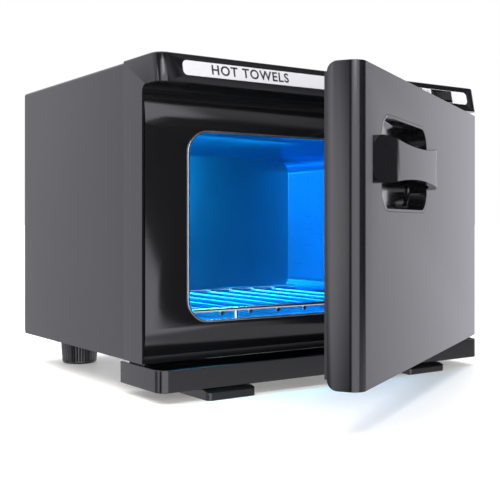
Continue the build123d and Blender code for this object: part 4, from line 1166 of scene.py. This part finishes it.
@dataclass
class Studio:
    """Camera, pale floor, soft lights and the room that glossy faces mirror."""

    corner: Vector
    lens: float = 65.8
    sensor: float = 36.0
    eye: Triple = (-0.2847, -0.5143, 0.0932)
    yaw: float = 34.61
    lift: float = -0.0524
    floor_size: float = 60.0
    floor_drop: float = 0.05 * MM
    floor_low: Colour = (0.90, 0.895, 0.83)
    floor_high: Colour = (0.92, 0.915, 0.85)
    floor_glow: Colour = (1.0, 1.0, 0.96)
    floor_strength: float = 0.22
    sky_strength: float = 3.0
    sky_spread: float = 75.0
    sky_turn: Triple = (-14.0, -10.0, 0.0)
    lamp_place: Triple = (-0.75, -1.6, 0.8)
    lamp_target: Triple = (0.0, 0.0, 0.12)
    lamp_size: float = 0.7
    lamp_power: float = 6.0
    back: Patch = Patch((0.0, 1.0, 0.0), -0.10, 0.12)
    gap: Patch = Patch((-0.866, 0.5, 0.0), 0.955, 0.985)
    soft_box: Patch = Patch((-0.358368, -0.933580, 0.0), 0.79, 0.87)
    left: Patch = Patch((-1.0, 0.0, 0.0), 0.955, 0.985)
    right: Patch = Patch((0.57, -0.82, 0.0), 0.45, 0.80)
    middle: Patch = Patch((0.34, -0.94, 0.0), 0.78, 0.97)
    below: Patch = Patch((0.0, 0.0, -1.0), 0.07, 0.17)
    above: Patch = Patch((0.0, 0.0, 1.0), 0.15, 0.30)
    top: Patch = Patch((0.0, 0.0, 1.0), 0.6, 0.85)
    gap_depth: float = 0.85
    box_light: float = 2.7
    left_light: float = 3.4
    dim_light: float = 0.06
    band_light: float = 0.8
    ceiling_light: float = 1.15
    tint: Colour = (1.01, 1.0, 1.09)

    def camera(self) -> None:
        """Place a level camera at the front left, measured from the moulding's front lower corner."""
        data = bpy.data.cameras.new("camera")
        data.lens = self.lens
        data.sensor_width = self.sensor
        data.shift_y = self.lift
        data.clip_start = 0.01
        camera = bpy.data.objects.new("camera", data)
        camera.location = self.corner + Vector(self.eye)
        camera.rotation_euler = (math.radians(90.0), 0.0, math.radians(-self.yaw))
        bpy.context.scene.collection.objects.link(camera)
        bpy.context.scene.camera = camera

    def floor(self) -> None:
        """Lay a wide pale floor."""
        mesh = bmesh.new()
        bmesh.ops.create_grid(mesh, x_segments=1, y_segments=1, size=self.floor_size)
        data = bpy.data.meshes.new("floor")
        mesh.to_mesh(data)
        mesh.free()
        floor = bpy.data.objects.new("floor", data)
        floor.location.z = -self.floor_drop
        floor.visible_glossy = False
        bpy.context.scene.collection.objects.link(floor)
        graph = Graph("studio_floor")
        speckle = graph.noise(4.0, 3.0)
        graph.set(
            Base_Color=graph.blend(speckle, self.floor_low, self.floor_high),
            Roughness=0.5,
            Emission_Color=self.floor_glow,
            Emission_Strength=self.floor_strength,
        )
        data.materials.append(graph.material)

    def lamp(self) -> None:
        """Hang one square soft light at the front left, turned to the cabinet."""
        data = bpy.data.lights.new("front_left", "AREA")
        data.size = self.lamp_size
        data.energy = self.lamp_power
        lamp = bpy.data.objects.new("front_left", data)
        lamp.location = Vector(self.lamp_place)
        way = Vector(self.lamp_target) - Vector(self.lamp_place)
        lamp.rotation_euler = way.to_track_quat("-Z", "Y").to_euler()
        bpy.context.scene.collection.objects.link(lamp)

    def sky_light(self) -> None:
        """Add an even, very soft light from above that keeps the floor white to the horizon."""
        data = bpy.data.lights.new("sky_light", "SUN")
        data.energy = self.sky_strength
        data.angle = math.radians(self.sky_spread)
        lamp = bpy.data.objects.new("sky_light", data)
        lamp.rotation_euler = tuple(math.radians(angle) for angle in self.sky_turn)
        bpy.context.scene.collection.objects.link(lamp)

    def world(self) -> None:
        """Build the room that glossy faces mirror: white behind, dark in front with two lights."""
        world = bpy.data.worlds.new("studio")
        bpy.context.scene.world = world
        world.use_nodes = True
        sheet = NodeSheet(world.node_tree)
        way = sheet.node("ShaderNodeTexCoord", {}, {}, "Generated")
        axes = tuple(
            sheet.node("ShaderNodeSeparateXYZ", {}, {"Vector": way}, axis) for axis in "XYZ"
        )
        back = self.back.over(axes)
        behind = back * (1.0 - self.gap.over(axes) * self.gap_depth)
        left = self.left.over(axes) * (1.0 - back)
        front = self.soft_box.over(axes) * self.box_light + left * self.left_light + self.dim_light
        low_band = self.right.over(axes) * self.below.over(axes)
        high_band = self.middle.over(axes) * self.above.over(axes)
        bands = (low_band + high_band) * self.band_light
        ceiling = (bands + self.top.over(axes)).clamp(0.0, 1.0)
        light = behind.either(front).either(ceiling * self.ceiling_light)
        room = sheet.node("ShaderNodeBackground", {}, {"Color": self.tint, "Strength": light})
        white = sheet.node("ShaderNodeBackground", {}, {"Color": (1.0, 1.0, 1.0)})
        seen = sheet.node("ShaderNodeLightPath", {}, {}, "Is Camera Ray")
        mix = sheet.node("ShaderNodeMixShader", {}, {0: seen, 1: room, 2: white})
        sheet.node_input("ShaderNodeOutputWorld", "Surface", mix)

    def build(self) -> None:
        """Set up the whole studio."""
        bpy.context.scene.view_settings.view_transform = "Standard"
        self.camera()
        self.floor()
        self.world()
        self.sky_light()
        self.lamp()


@dataclass
class ChamberGlow:
    """Blue light of the lamp inside the chamber, thrown backwards from just behind the mouth."""

    width_share: float = 0.45
    depth: float = 0.02
    side_share: float = 0.3
    inset: float = 0.012
    power: float = 0.9
    colour: Colour = (0.03, 0.62, 1.0)
    pitch: float = 62.0
    turn: float = 8.0

    def build(self) -> None:
        """Hang the light under the chamber's ceiling."""
        low, high = (Vector(corner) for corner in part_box("inner_chamber"))
        width = high.x - low.x
        data = bpy.data.lights.new("lamp_glow", "AREA")
        data.shape = "RECTANGLE"
        data.size = width * self.width_share
        data.size_y = self.depth
        data.energy = self.power
        data.color = self.colour
        lamp = bpy.data.objects.new("lamp_glow", data)
        lamp.location = (low.x + self.side_share * width, low.y + self.inset, high.z - self.inset)
        lamp.rotation_euler = (math.radians(self.pitch), 0.0, math.radians(self.turn))
        bpy.context.scene.collection.objects.link(lamp)


def dress_nodes(finishes: dict[str, bpy.types.Material]) -> None:
    """Give every CAD node its slot's finish.

    Args:
        finishes: materials by slot.
    """
    for row in frame["record"]["subparts"]:
        data = frame["nodes"][row["node"]].data
        data.materials.clear()
        data.materials.append(finishes[row["material_slot"]])


def main() -> None:
    """Build the studio and every sub-assembly, in order."""
    logging.basicConfig(level=logging.INFO, format="%(name)s: %(message)s")
    low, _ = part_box("front_frame")
    Studio(Vector(low)).build()
    finishes = finishes_by_slot()
    dress_nodes(finishes)
    shop = Workshop(finishes)
    for kind in (Cabinet, Fasteners, Feet, LabelStrip, LampFittings, Door, Movers):
        kind(shop).build()
    ChamberGlow().build()
    LOG.info("%d pieces", len(shop.made))


if __name__ == "__main__":
    main()
